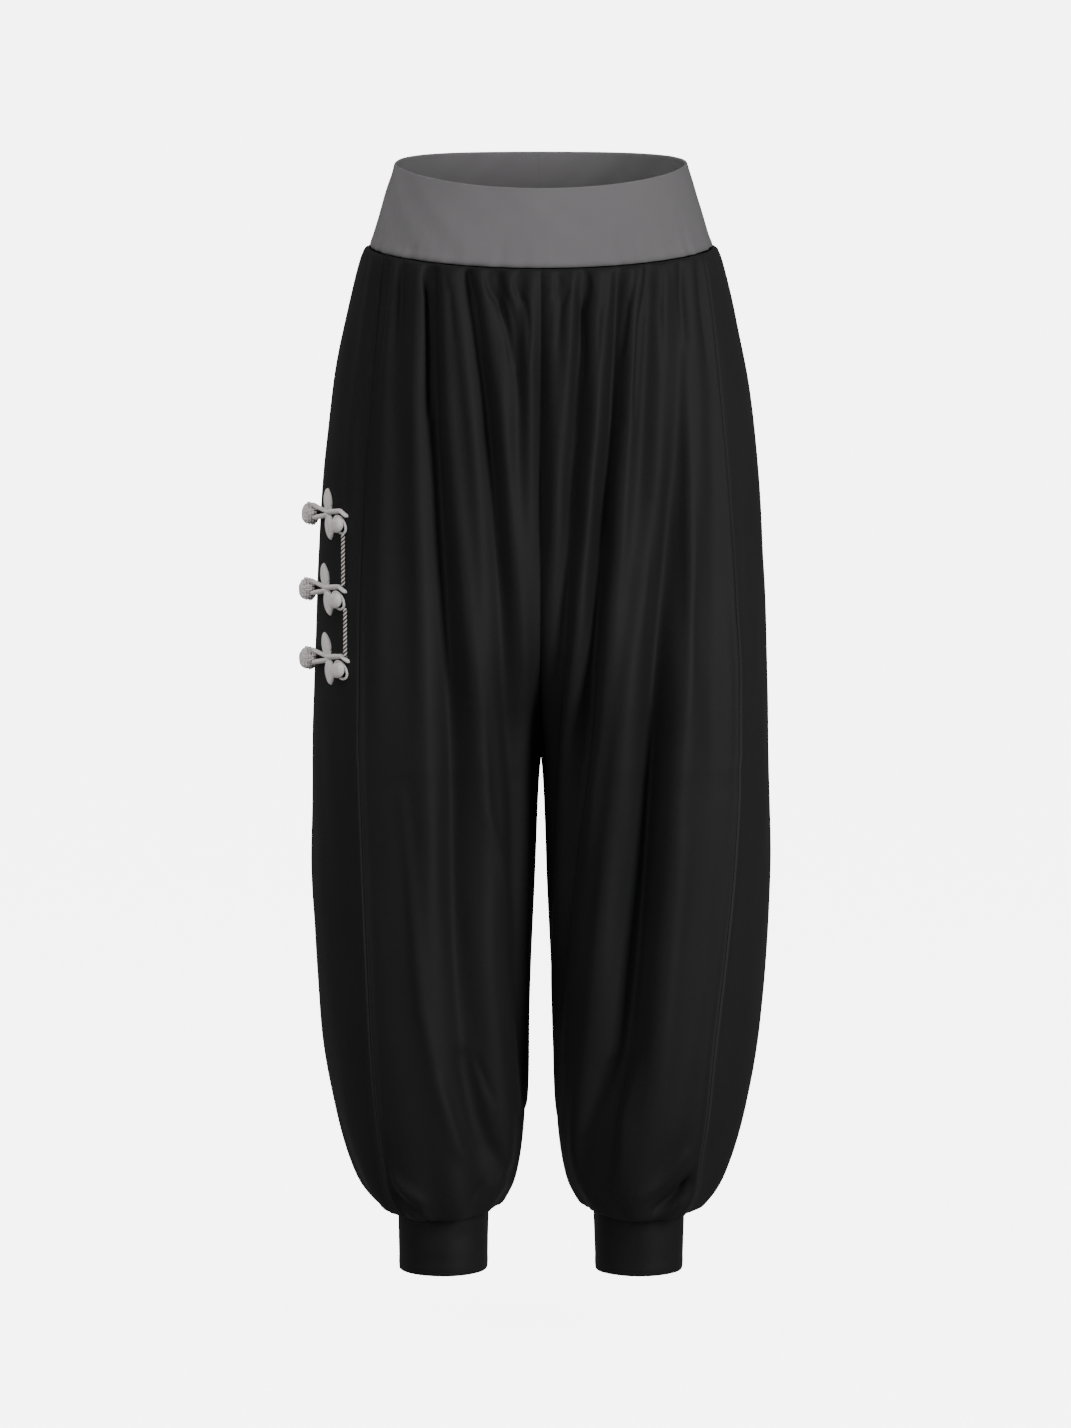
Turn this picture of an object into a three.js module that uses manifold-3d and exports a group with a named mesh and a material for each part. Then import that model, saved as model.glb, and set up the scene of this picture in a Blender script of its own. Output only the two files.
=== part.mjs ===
// Harem trousers in black jersey: a deep grey stretch waistband, four full leg panels gathered into it
// and into two plain cuffs, and three leaf-shaped frog fastenings with a twisted cord down the outside of
// the wearer's right hip. They keep the hollow shape of a wearer. Millimetres, +Z up, the front faces -Y
// and the wearer's right is at -X. The origin is the middle of the waist, half way up the waistband,
// where the wearer holds them.

import * as THREE from 'three';
import Module from 'manifold-3d';

const wasm = await Module();
wasm.setup();

// Driving sizes
const SEAM_GAP = 0.3; // between two pieces where they are sewn together
const LAID_GAP = 0.5; // under what lies on the cloth
const CLOTH_WALL = 2; // black jersey
const BAND_WALL = 2.6; // grey jersey, two layers folded at the rim
const CUFF_WALL = 2.4; // black jersey, two layers folded at the hem
const FOLD_ROUND = 0.9; // how far a folded edge rounds past its wall
const BAND_SEGMENTS = 56;
const CUFF_SEGMENTS = 26;
const FRONT_COLUMNS = 20;
const BACK_COLUMNS = 22;
const TURN_COLUMNS = 3; // the last columns of a panel, which turn under the crotch
const TURN = { above: 2.04, from: -420, below: 2.7, to: -700 }; // the angle where they begin, at two heights

// A table with named columns: each row becomes an object with those names.
function table(names, ...rows) {
  const keys = names.trim().split(/\s+/);
  return rows.map((row) => Object.fromEntries(keys.map((key, i) => [key, row[i]])));
}

// One leg, with its half of the seat, at each height. outer and inner are how far its sides lie from the
// centre line. Where inner is below 0 the two legs are one seat, and the centre line cuts them. front and
// back are the half depths before and behind the line middle. seamLeft and seamRight are where each leg's
// side seam shows from the front. At the front the section hangs lower by tilt + sag, and at the back by
// sag - tilt. loose is how freely the cloth folds, gather is the height of the gathers above the cuff,
// and steps is the number of mesh rows to the next section.
const LEG_SECTIONS = table(
  'z      outer  inner  front  back  middle  seamLeft  seamRight  tilt  sag  loose  gather  steps',
  [-37.5, 153.0, -153.0, 104, 110, 2, 140, 138, 11, 5, 0.25, 0, 1],
  [-43.0, 159.0, -158.6, 109, 117, 2, 144, 141, 11, 5, 0.70, 0, 1],
  [-60.0, 164.5, -163.0, 112, 123, 3, 147, 143, 10, 5, 1.0, 0, 1],
  [-100.0, 174.0, -170.0, 113, 131, 4, 152, 147, 8, 3, 1.0, 0, 2],
  [-160.0, 186.0, -175.0, 111, 139, 5, 158, 152, 4, 1, 1.0, 0, 2],
  [-240.0, 195.0, -158.0, 107, 141, 5, 165, 157, 0, 0, 1.0, 0, 2],
  [-320.0, 200.0, -120.0, 106, 136, 5, 171, 160, 0, 0, 1.0, 0, 1],
  [-360.0, 201.5, -86.0, 107, 132, 5, 173, 161, 0, 0, 1.0, 0, 1],
  [-390.0, 202.5, -58.0, 108, 129, 5, 175, 161, 0, 0, 1.0, 0, 1],
  [-415.0, 203.6, -35.0, 109, 127, 5, 176, 161, 0, 0, 1.0, 0, 1],
  [-440.0, 204.5, -17.5, 110, 125, 5, 176, 161, 0, 0, 1.0, 0, 1],
  [-455.0, 204.8, -9.7, 110, 124, 5, 176, 161, 0, 0, 1.0, 0, 1],
  [-470.0, 205.0, -4.6, 110, 122, 5, 176, 161, 0, 0, 1.0, 0, 1],
  [-486.0, 205.2, -1.4, 110, 121, 5, 176, 161, 0, 0, 1.0, 0, 1],
  [-497.0, 205.5, 0.0, 110, 120, 5, 175, 160, 0, 0, 1.0, 0, 1],
  [-512.0, 205.7, 1.4, 109, 119, 5, 175, 160, 0, 0, 1.0, 0, 1],
  [-540.0, 206.2, 2.9, 108, 117, 5, 174, 159, 0, 0, 1.0, 0, 1],
  [-600.0, 207.0, 5.2, 105, 113, 6, 170, 157, 0, 0, 1.0, 0, 2],
  [-680.0, 203.0, 8.8, 102, 108, 6, 162, 154, 0, 0, 1.0, 0, 2],
  [-750.0, 197.6, 11.4, 98, 104, 7, 154, 151, 0, 0, 1.0, 0.3, 2],
  [-810.0, 187.3, 13.4, 91, 96, 7, 148, 147, 0, 1, 1.0, 0.8, 1],
  [-850.0, 176.8, 17.8, 84, 87, 8, 142, 143, 0, 2.5, 1.0, 1.4, 1],
  [-880.0, 165.0, 24.8, 76, 77, 8, 138, 139, 0, 4, 0.9, 2.0, 1],
  [-897.0, 153.2, 33.5, 69, 69, 8, 131, 132, 0, 5, 0.7, 2.4, 1],
  [-905.0, 145.0, 38.8, 62.5, 62.5, 8, 124, 125, 0, 5, 0.5, 1.8, 1],
  [-904.0, 137.4, 43.0, 55, 55, 8, 118, 119, 0, 4, 0.3, 1.0, 1],
  [-897.0, 133.8, 45.4, 50, 50, 8, 116, 116, 0, 2, 0.1, 0.5, 1],
  [-890.8, 132.4, 45.4, 48.3, 48.3, 8, 115, 115, 0, 0, 0, 0, 1],
  [-889.8, 129.4, 48.2, 45.4, 45.4, 8, 113, 113, 0, 0, 0, 0, 0],
);

// The waistband, from its lower seam up to its rim.
const BAND_SECTIONS = table(
  'z      width  front  back   tilt  sag',
  [-37.2, 152.7, 103.7, 109.7, 11, 5],
  [0.0, 141.4, 97.0, 102.5, 11.8, 4.8],
  [35.5, 130.4, 92.0, 96.5, 14.4, 6.2],
);
const BAND_MIDDLE = 2;

// A cuff, from the gathers down to its hem, about the middle of the leg.
const CUFF_SECTIONS = table(
  'z       width  depth',
  [-890.3, 41.8, 46.5],
  [-925.0, 41.1, 46.2],
  [-963.0, 40.0, 45.0],
);
const CUFF_ACROSS = 88.8;
const CUFF_MIDDLE = 8;

// The largest folds. Each is a trough, given by how far it lies from the centre line, seen from the
// front, at five heights, and by its depth there. leg is 1 for the wearer's left, -1 for the right and 0
// for both, and face is 1 for the front and -1 for the back. wTop and wFoot are half of its width at the
// waist and the cuff.
const FOLD_HEIGHTS = [-40, -200, -497, -700, -890];
const FOLDS = table(
  `leg face waist hip crotch knee ankle  dWaist dHip dCrotch dKnee dAnkle  wTop wFoot`,
  [-1, 1, 96, 94, 76, 70, 50, 6.5, 11, 13, 12, 4, 6, 18],
  [-1, 1, 66, 46, 26, 20, 10, 5.5, 9, 5, 4, 0, 6, 12],
  [-1, 1, 40, 14, 8, 8, 8, 4.0, 1, 0, 0, 0, 6, 10],
  [-1, 1, 17, 18, 6, 6, 6, 3.0, 4, 0, 0, 0, 6, 10],
  [-1, 1, 138, 154, 158, 160, 150, 5, 4, 0, 0, 0, 8, 12],
  [-1, 1, 122, 128, 120, 108, 70, 3, 1, 0, 0, 0, 6, 15],
  [1, 1, 37, 31, 13, 10, 10, 5, 9, 4, 0, 0, 6, 12],
  [1, 1, 69, 62, 35, 17, 14, 5, 10, 10, 3, 0, 6, 13],
  [1, 1, 97, 90, 84, 80, 56, 4, 3, 0, 0, 0, 6, 14],
  [1, 1, 124, 121, 95, 77, 50, 2.5, 4, 21, 20, 3, 8, 18],
  [1, 1, 17, 14, 6, 6, 6, 3.0, 3, 0, 0, 0, 6, 10],
  [1, 1, 139, 152, 152, 142, 110, 2.5, 2, 2, 2, 2, 8, 13],
  [0, 1, 0, 0, 0, 10, 10, 3.0, 9, 0, 0, 0, 6, 10],
  [-1, -1, 20, 26, 30, 40, 60, 4.5, 6, 8, 6, 3, 7, 16],
  [-1, -1, 48, 58, 70, 84, 96, 5.0, 6, 8, 11, 5, 8, 17],
  [-1, -1, 78, 92, 112, 120, 112, 4.5, 5, 11, 8, 4, 8, 17],
  [-1, -1, 108, 128, 150, 152, 130, 4.5, 5, 5, 5, 2, 8, 15],
  [1, -1, 24, 30, 40, 52, 70, 4.5, 7, 10, 8, 3, 7, 16],
  [1, -1, 54, 66, 84, 96, 104, 5.0, 5, 9, 10, 5, 8, 17],
  [1, -1, 84, 100, 124, 132, 118, 4.5, 6, 8, 9, 4, 8, 16],
  [1, -1, 114, 136, 158, 160, 134, 4.5, 4, 5, 4, 2, 8, 15],
  [0, -1, 0, 0, 0, 10, 10, 3.0, 4, 0, 0, 0, 7, 10],
);
const CUFF_GATHERS = { left: 9, right: 10 }; // waves round each leg above its cuff
// The ridges beside a trough: how far off they are in its half widths, and how high in its depths.
const RIDGE = { away: 2, share: 0.4 };
// Where both legs' folds agree: while inner is under opens, and within reach of the centre seam.
const JOIN = { opens: 3, reach: 20 };

// The three frog fastenings, on the wearer's right leg. across and z place the middle of each, and lean
// is how far the tips of its upper and lower leaf lie towards the front.
const FROGS = table(
  'name  across  z  leanUp  leanDown',
  ['top', 188.3, -274.0, -3, 3.5],
  ['middle', 190.0, -341.0, -8, 6],
  ['bottom', 188.0, -402.0, -10, 3],
);
const LEAF = { up: 22, down: 23.5, width: 14, height: 3.2 };
// The other padded strips of a frog: its arm towards the front, the arm's tip, and two prongs towards the
// back. p runs along the cloth towards the front and q upwards, from the middle of the frog.
const STRIPS = table(
  'name  fromP  fromQ  toP  toQ  width  height  stations',
  ['arm', -5, 0.5, 21.5, 3.2, 4.8, 3.2, 4],
  ['arm tip', 19.5, 3, 29, -1.5, 3.8, 3, 2],
  ['upper prong', 0, 0, -20.5, 6.5, 3.6, 3, 3],
  ['lower prong', 0, -1, -19.5, -6, 4, 3, 3],
);
const EYE = { p: 18.6, q: -9.2, long: 10.6, wide: 7.4, turn: -0.6, thick: 1.1, stations: 16, sides: 6 };
const BEAD = { p: 17.2, q: -8.4, radius: 6, height: 8.5 };
const ROSETTE = { p: -27, q: -2.5, radius: 9.4, height: 17, petals: 7, ripple: 0.09 };
const TRIM = { radius: 1.6, sides: 7, stations: 5 };
const TRIM_RUNS = table('name  across  from  to', ['upper', 174, -292, -335.5], ['lower', 172.3, -358, -398]);

// A value that runs smoothly through values at rising or falling knots.
function curve(at, knots, values) {
  const last = knots.length - 1;
  const sign = Math.sign(knots[last] - knots[0]);
  const x = Math.min(Math.max(at * sign, knots[0] * sign), knots[last] * sign) * sign;
  let i = 0;
  while (i < last - 1 && (x - knots[i + 1]) * sign > 0) i += 1;
  const slope = (k) => {
    const a = Math.max(k - 1, 0);
    const b = Math.min(k + 1, last);
    return (values[b] - values[a]) / (knots[b] - knots[a]);
  };
  const span = knots[i + 1] - knots[i];
  const t = (x - knots[i]) / span;
  const rise = values[i] * (1 + 2 * t) * (1 - t) ** 2 + values[i + 1] * t * t * (3 - 2 * t);
  return rise + span * (slope(i) * t * (1 - t) ** 2 - slope(i + 1) * t * t * (1 - t));
}

const clamp = THREE.MathUtils.clamp;
const lerp = THREE.MathUtils.lerp;
const bell = (t) => Math.exp(-t * t);

// The leg's section at level v, where whole levels are the rows of LEG_SECTIONS.
const LEVELS = LEG_SECTIONS.map((row, i) => i);
const LAST_LEVEL = LEVELS.length - 1;
const CROTCH_LEVEL = LEG_SECTIONS.findIndex((row) => row.inner === 0);

function sectionAt(v) {
  const s = {};
  for (const key of Object.keys(LEG_SECTIONS[0])) {
    s[key] = curve(v, LEVELS, LEG_SECTIONS.map((row) => row[key]));
  }
  s.centre = (s.outer + s.inner) / 2;
  s.radius = (s.outer - s.inner) / 2;
  s.innerAngle = Math.acos(-Math.min(1, s.centre / s.radius));
  return s;
}

// The angle of a place on the front half of a section, given by how far it lies from the centre line.
const angleAcross = (s, across) => Math.acos(clamp((across - s.centre) / s.radius, -1, 1));

// Angles run round a leg from its outer side, 0, over the front to its inner side, pi, and below 0 over
// the back.
const depthAt = (s, angle) => (Math.sin(angle) > 0 ? s.front : s.back);
const speedAt = (s, angle) => Math.hypot(s.radius * Math.sin(angle), depthAt(s, angle) * Math.cos(angle));

// How far the folds of one leg push the cloth outwards.
function folds(leg, s, angle) {
  const share = (s.z - FOLD_HEIGHTS[0]) / (FOLD_HEIGHTS.at(-1) - FOLD_HEIGHTS[0]);
  let push = 0;
  for (const f of FOLDS) {
    if (f.leg === -leg) continue;
    const across = curve(s.z, FOLD_HEIGHTS, [f.waist, f.hip, f.crotch, f.knee, f.ankle]);
    const depth = curve(s.z, FOLD_HEIGHTS, [f.dWaist, f.dHip, f.dCrotch, f.dKnee, f.dAnkle]);
    const at = f.face * angleAcross(s, across);
    const turn = Math.atan2(Math.sin(angle - at), Math.cos(angle - at));
    const t = (turn * speedAt(s, at)) / lerp(f.wTop, f.wFoot, clamp(share, 0, 1));
    push -= Math.max(depth, 0) * (bell(t) - RIDGE.share * (bell(t - RIDGE.away) + bell(t + RIDGE.away)));
  }
  const waves = leg > 0 ? CUFF_GATHERS.left : CUFF_GATHERS.right;
  return s.loose * push + s.gather * Math.cos(waves * (angle - Math.PI));
}

// The same, with the two legs brought together where the centre seams join them.
function relief(leg, s, angle) {
  const edge = Math.sign(angle || 1) * s.innerAngle;
  const fromSeam = (edge - angle) * speedAt(s, edge);
  const joined = bell(Math.max(s.inner, 0) / JOIN.opens) * bell(fromSeam / JOIN.reach);
  return folds(leg, s, angle) + (joined * (folds(-leg, s, edge) - folds(leg, s, edge))) / 2;
}

// A point of the cloth's outer face, for the leg on the +X side. leg still picks which folds it has.
function clothPoint(leg, v, angle) {
  const s = sectionAt(v);
  const depth = depthAt(s, angle);
  const out = new THREE.Vector2(Math.cos(angle) / s.radius, -Math.sin(angle) / depth).normalize();
  const push = relief(leg, s, angle);
  const lean = Math.sin(angle);
  return new THREE.Vector3(
    s.centre + s.radius * Math.cos(angle) + out.x * push,
    s.middle - depth * Math.sin(angle) + out.y * push,
    s.z - s.tilt * lean - s.sag * lean * lean,
  );
}

// The direction round the leg there, and the outward direction.
const STEP = { level: 0.04, angle: 0.02 };

function roundTangent(leg, v, angle) {
  return clothPoint(leg, v, angle + STEP.angle).sub(clothPoint(leg, v, angle - STEP.angle)).normalize();
}

function clothNormal(leg, v, angle) {
  const down = clothPoint(leg, Math.min(v + STEP.level, LAST_LEVEL), angle);
  down.sub(clothPoint(leg, Math.max(v - STEP.level, 0), angle));
  return roundTangent(leg, v, angle).cross(down).normalize();
}

// Mesh rows of the panels, as levels.
const ROWS = LEG_SECTIONS.flatMap((row, i) => Array.from({ length: row.steps }, (_, k) => i + k / row.steps));
ROWS.push(LAST_LEVEL);

// A closed solid through loops of points. Point j of a loop is opposite point n - 1 - j, so its end caps
// are strips between the two, and its two sides are split into triangles the same way. When closed is
// true the last loop joins the first instead.
function sweep(loops, closed = false) {
  const n = loops[0].length;
  const index = [];
  const quad = (a, b, c, d) => index.push(a, b, c, a, c, d);
  for (let i = 0; i < loops.length - (closed ? 0 : 1); i += 1) {
    const [here, next] = [i * n, ((i + 1) % loops.length) * n];
    for (let j = 0; j < n; j += 1) {
      const k = (j + 1) % n;
      if (j < n / 2) quad(here + j, here + k, next + k, next + j);
      else quad(here + k, next + k, next + j, here + j);
    }
  }
  const cap = (start, flip) => {
    for (let j = 0; j < Math.floor((n - 1) / 2); j += 1) {
      const corners = [j, j + 1, n - 2 - j, n - 1 - j].map((c) => start + c);
      if (flip) corners.reverse();
      const ring = corners.filter((c, i) => c !== corners[(i + 1) % corners.length]);
      if (ring.length === 4) quad(...ring);
      else index.push(...ring);
    }
  };
  if (!closed) {
    cap(0, true);
    cap((loops.length - 1) * n, false);
  }
  const geometry = new THREE.BufferGeometry().setFromPoints(loops.flat());
  geometry.setIndex(index);
  return faceOut(geometry);
}

// Turns the faces of a closed geometry outwards.
function faceOut(geometry) {
  const p = geometry.attributes.position;
  const index = geometry.index.array;
  const corner = [new THREE.Vector3(), new THREE.Vector3(), new THREE.Vector3()];
  let volume = 0;
  for (let i = 0; i < index.length; i += 3) {
    corner.forEach((c, k) => c.fromBufferAttribute(p, index[i + k]));
    volume += corner[0].dot(corner[1].cross(corner[2]));
  }
  if (volume < 0) {
    for (let i = 0; i < index.length; i += 3) [index[i], index[i + 1]] = [index[i + 1], index[i]];
  }
  geometry.computeVertexNormals();
  return geometry;
}

// One leg panel: face 1 is a front, from the side seam to the inner leg and centre front, and face -1 is
// a back.
class Panel {
  constructor(leg, face) {
    this.leg = leg;
    this.face = face;
    this.columns = face > 0 ? FRONT_COLUMNS : BACK_COLUMNS;
    this.points = ROWS.map((v) => this.row(v, false));
    const walls = ROWS.map((v) => this.row(v, true));
    const loops = this.points.map((row, i) => [...row, ...walls[i].reverse()].map((p) => this.place(p)));
    this.geometry = sweep(loops);
  }

  // The angle of a place across the panel, from the side seam, 0, to the inner leg or centre seam, at
  // columns. The last few columns take up the turn under the crotch, so that the others run straight down
  // past it.
  angleAt(s, column) {
    const start = this.face * angleAcross(s, this.leg > 0 ? s.seamLeft : s.seamRight);
    const even = this.columns - TURN_COLUMNS;
    const down = clamp((TURN.from - s.z) / (TURN.from - TURN.to), 0, 1);
    const evenTurn = start + (even / this.columns) * (s.innerAngle - start);
    const turn = Math.min(evenTurn, lerp(TURN.above, TURN.below, down));
    const angle = column < even
      ? lerp(start, turn, column / even)
      : lerp(turn, s.innerAngle, (column - even) / TURN_COLUMNS);
    return this.face * angle;
  }

  // The place across the panel of an angle between the side seam and the turn.
  columnAt(s, angle) {
    let [low, high] = [0, this.columns];
    while (high - low > 1e-5) {
      const middle = (low + high) / 2;
      if (this.face * (this.angleAt(s, middle) - angle) < 0) low = middle;
      else high = middle;
    }
    return low;
  }

  // The panel's points on one section. Both edges are drawn back along the cloth by half a seam gap.
  row(v, inside) {
    const s = sectionAt(v);
    const half = SEAM_GAP / 2;
    return Array.from({ length: this.columns + 1 }, (_, c) => {
      const angle = this.angleAt(s, c);
      const p = clothPoint(this.leg, v, angle);
      if (c === 0) p.addScaledVector(roundTangent(this.leg, v, angle), this.face * half);
      if (c === this.columns) p.addScaledVector(roundTangent(this.leg, v, angle), -this.face * half);
      if (c === this.columns && s.inner <= 0) p.x = half;
      if (inside) p.addScaledVector(clothNormal(this.leg, v, angle), -CLOTH_WALL);
      p.x = Math.max(p.x, half);
      return p;
    });
  }

  place(p) {
    return new THREE.Vector3(this.leg * p.x, p.y, p.z);
  }

  // The panel's own flat facets at a level and angle, moved out by lift.
  lifted(v, angle, lift) {
    const c = this.columnAt(sectionAt(v), angle);
    let r = 0;
    while (r < ROWS.length - 2 && ROWS[r + 1] <= v) r += 1;
    const [i, s] = [Math.floor(c), c - Math.floor(c)];
    const t = (v - ROWS[r]) / (ROWS[r + 1] - ROWS[r]);
    const [a, b] = [this.points[r][i], this.points[r][i + 1]];
    const [d, e] = [this.points[r + 1][i], this.points[r + 1][i + 1]];
    const weights = s > t ? [[a, 1 - s], [b, s - t], [e, t]] : [[a, 1 - t], [d, t - s], [e, s]];
    const p = new THREE.Vector3();
    for (const [point, weight] of weights) p.addScaledVector(point, weight);
    return this.place(p.addScaledVector(clothNormal(this.leg, v, angle), lift));
  }
}

// A folded strip of cloth bent into a ring, with a seam gap between its two ends. outerAt(t, angle) is
// its outer face from edge, t 0, to fold, t 1, and wall is measured towards the ring's middle line.
function foldedRing({ outerAt, wall, seamAngle, segments, steps, foldUp }) {
  const loops = [];
  for (let i = 0; i <= segments; i += 1) {
    const round = i / segments;
    const gap = SEAM_GAP / 2 / outerAt(0, seamAngle).distanceTo(outerAt(0, seamAngle + Math.PI / 2));
    const angle = seamAngle + lerp(gap, 2 * Math.PI - gap, round);
    const outside = Array.from({ length: steps + 1 }, (_, k) => outerAt(k / steps, angle));
    const ahead = outerAt(0, angle + STEP.angle).sub(outerAt(0, angle - STEP.angle)).setZ(0).normalize();
    const inward = new THREE.Vector3(-ahead.y, ahead.x, 0);
    const inside = outside.map((p) => p.clone().addScaledVector(inward, wall)).reverse();
    const fold = outside.at(-1).clone().addScaledVector(inward, wall / 2);
    fold.z += foldUp * FOLD_ROUND;
    loops.push([...outside, fold, ...inside]);
  }
  return sweep(loops);
}

function waistband() {
  const knots = BAND_SECTIONS.map((row, i) => i / (BAND_SECTIONS.length - 1));
  const value = (t, key) => curve(t, knots, BAND_SECTIONS.map((row) => row[key]));
  const outerAt = (t, angle) => {
    const lean = -Math.sin(angle);
    const depth = lean > 0 ? value(t, 'front') : value(t, 'back');
    return new THREE.Vector3(
      value(t, 'width') * Math.cos(angle),
      BAND_MIDDLE - depth * lean,
      value(t, 'z') - value(t, 'tilt') * lean - value(t, 'sag') * lean * lean,
    );
  };
  const centreBack = Math.PI / 2;
  return foldedRing({
    outerAt, wall: BAND_WALL, seamAngle: centreBack, segments: BAND_SEGMENTS, steps: 2, foldUp: 1,
  });
}

function cuff(leg) {
  const knots = CUFF_SECTIONS.map((row, i) => i / (CUFF_SECTIONS.length - 1));
  const value = (t, key) => curve(t, knots, CUFF_SECTIONS.map((row) => row[key]));
  const outerAt = (t, angle) => new THREE.Vector3(
    leg * CUFF_ACROSS + value(t, 'width') * Math.cos(angle),
    CUFF_MIDDLE + value(t, 'depth') * Math.sin(angle),
    value(t, 'z'),
  );
  const innerLeg = leg > 0 ? Math.PI : 0;
  return foldedRing({
    outerAt, wall: CUFF_WALL, seamAngle: innerLeg, segments: CUFF_SEGMENTS, steps: 2, foldUp: -1,
  });
}

// A padded strip lying flat: a half-round mound along a straight line in the plane of p and q. shape
// gives its half width as a share of width, from 0 at one end to 1 at the other.
function mound({ fromP, fromQ, toP, toQ, width, height, stations }, shape) {
  const start = new THREE.Vector2(fromP, fromQ);
  const end = new THREE.Vector2(toP, toQ);
  const along = end.clone().sub(start).normalize();
  const loops = [];
  for (let i = 0; i <= stations; i += 1) {
    const middle = start.clone().lerp(end, i / stations);
    const share = shape(i / stations);
    const loop = [0, 0.25, 0.5, 0.75, 1].map((k) => {
      const side = (Math.cos(Math.PI * k) * width * share) / 2;
      const rise = Math.sin(Math.PI * k) * height * Math.sqrt(share);
      return new THREE.Vector3(middle.x - along.y * side, middle.y + along.x * side, rise);
    });
    loops.push([...loop, new THREE.Vector3(middle.x, middle.y, 0)]);
  }
  return sweep(loops);
}

// A leaf is broadest near its foot and ends in a blunt point, and a strip only narrows at its ends.
const leafShape = (t) => 0.12 + 0.88 * Math.sin(Math.PI * t ** 0.9) ** 0.8;
const stripShape = (t) => 1 - 0.35 * (2 * t - 1) ** 4;

function toManifold(geometry) {
  const triVerts = new Uint32Array(geometry.index.array);
  const vertProperties = new Float32Array(geometry.attributes.position.array);
  return new wasm.Manifold(new wasm.Mesh({ numProp: 3, vertProperties, triVerts }));
}

function fromManifold(solid) {
  const mesh = solid.getMesh();
  const points = new THREE.BufferAttribute(new Float32Array(mesh.vertProperties), 3);
  return new THREE.BufferGeometry().setAttribute('position', points).setIndex([...mesh.triVerts]);
}

// The flat sprig of one frog: two leaves and the four strips, padded and sewn into one.
function flatSprig({ leanUp, leanDown }) {
  const leaf = { width: LEAF.width, height: LEAF.height, stations: 6, fromP: 0 };
  const pieces = [
    mound({ ...leaf, fromQ: 1, toP: leanUp, toQ: LEAF.up }, leafShape),
    mound({ ...leaf, fromQ: -1, toP: leanDown, toQ: -LEAF.down }, leafShape),
    ...STRIPS.map((strip) => mound(strip, stripShape)),
  ];
  return fromManifold(pieces.map(toManifold).reduce((sum, piece) => sum.add(piece)));
}

// The oval eye of one frog: a round cord bent into an oval, lying flat.
function flatEye() {
  const loops = Array.from({ length: EYE.stations }, (_, i) => {
    const round = (2 * Math.PI * i) / EYE.stations;
    return Array.from({ length: EYE.sides }, (_, k) => {
      const tilt = (2 * Math.PI * k) / EYE.sides;
      const out = EYE.thick * Math.cos(tilt);
      const x = (EYE.long - EYE.thick + out) * Math.cos(round);
      const y = (EYE.wide - EYE.thick + out) * Math.sin(round);
      const [c, s] = [Math.cos(EYE.turn), Math.sin(EYE.turn)];
      return new THREE.Vector3(EYE.p + x * c - y * s, EYE.q + x * s + y * c, EYE.thick * (1 + Math.sin(tilt)));
    });
  });
  return sweep(loops, true);
}

// The domed bead in the eye, and the rosette, each turned about its own axis.
function beadShape() {
  const { radius, height } = BEAD;
  const profile = [[0, 0], [0.7, 0], [0.74, 0.3], [1, 0.48], [0.88, 0.76], [0.5, 0.95], [0, 1]];
  const points = profile.map(([r, h]) => new THREE.Vector2(r * radius, h * height));
  return new THREE.LatheGeometry(points, 12).rotateX(Math.PI / 2);
}

function rosetteShape() {
  const { radius, height, petals } = ROSETTE;
  const neck = [[0, 0], [0.34, 0], [0.34, 0.12]];
  const petalRow = [[0.74, 0.22], [0.96, 0.4], [1, 0.62], [0.84, 0.86], [0.45, 1], [0, 0.93]];
  const points = [...neck, ...petalRow].map(([r, h]) => new THREE.Vector2(r * radius, h * height));
  const geometry = new THREE.LatheGeometry(points, 2 * petals).rotateX(Math.PI / 2);
  const p = geometry.attributes.position;
  for (let i = 0; i < p.count; i += 1) {
    const wave = Math.cos(petals * Math.atan2(p.getY(i), p.getX(i)));
    const open = clamp((p.getZ(i) / height - petalRow[0][1]) / 0.3, 0, 1);
    const petal = 1 + ROSETTE.ripple * wave * open;
    p.setXY(i, p.getX(i) * petal, p.getY(i) * petal);
  }
  return geometry;
}

const backRight = new Panel(-1, -1);

// Where p towards the front and q upwards from a point of the hip, along the cloth, lead: its level and
// angle.
function along(across, z, p, q) {
  let [low, high] = [0, CROTCH_LEVEL];
  while (high - low > 1e-5) {
    const v = (low + high) / 2;
    if (sectionAt(v).z > z + q) low = v;
    else high = v;
  }
  const s = sectionAt(low);
  let angle = angleAcross(s, across);
  const parts = 8;
  for (let k = 0; k < parts; k += 1) angle += p / parts / speedAt(s, angle);
  return [low, angle];
}

// Bends a flat shape in p, q and h onto the hip, just above the cloth.
function layOn(geometry, across, z) {
  const g = geometry.clone();
  const p = g.attributes.position;
  for (let i = 0; i < p.count; i += 1) {
    const [v, angle] = along(across, z, p.getX(i), p.getY(i));
    const placed = backRight.lifted(v, angle, LAID_GAP + p.getZ(i));
    p.setXYZ(i, placed.x, placed.y, placed.z);
  }
  return faceOut(g);
}

// Stands a rigid shape on the hip, with its axis straight out of the cloth.
function standOn(mesh, across, z, { p, q }) {
  const [v, angle] = along(across, z, p, q);
  const foot = backRight.lifted(v, angle, LAID_GAP);
  mesh.position.copy(foot);
  const out = backRight.lifted(v, angle, LAID_GAP + 1).sub(foot);
  mesh.quaternion.setFromUnitVectors(new THREE.Vector3(0, 0, 1), out.normalize());
  return mesh;
}

// A stretch of the twisted cord sewn down the hip.
function trimRun({ across, from, to }) {
  const loops = Array.from({ length: TRIM.stations + 1 }, (_, i) => {
    const z = lerp(from, to, i / TRIM.stations);
    return Array.from({ length: TRIM.sides }, (_, k) => {
      const turn = (2 * Math.PI * k) / TRIM.sides;
      const [v, angle] = along(across, z, TRIM.radius * Math.cos(turn), 0);
      return backRight.lifted(v, angle, LAID_GAP + TRIM.radius * (1 + Math.sin(turn)));
    });
  });
  return sweep(loops);
}

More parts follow.
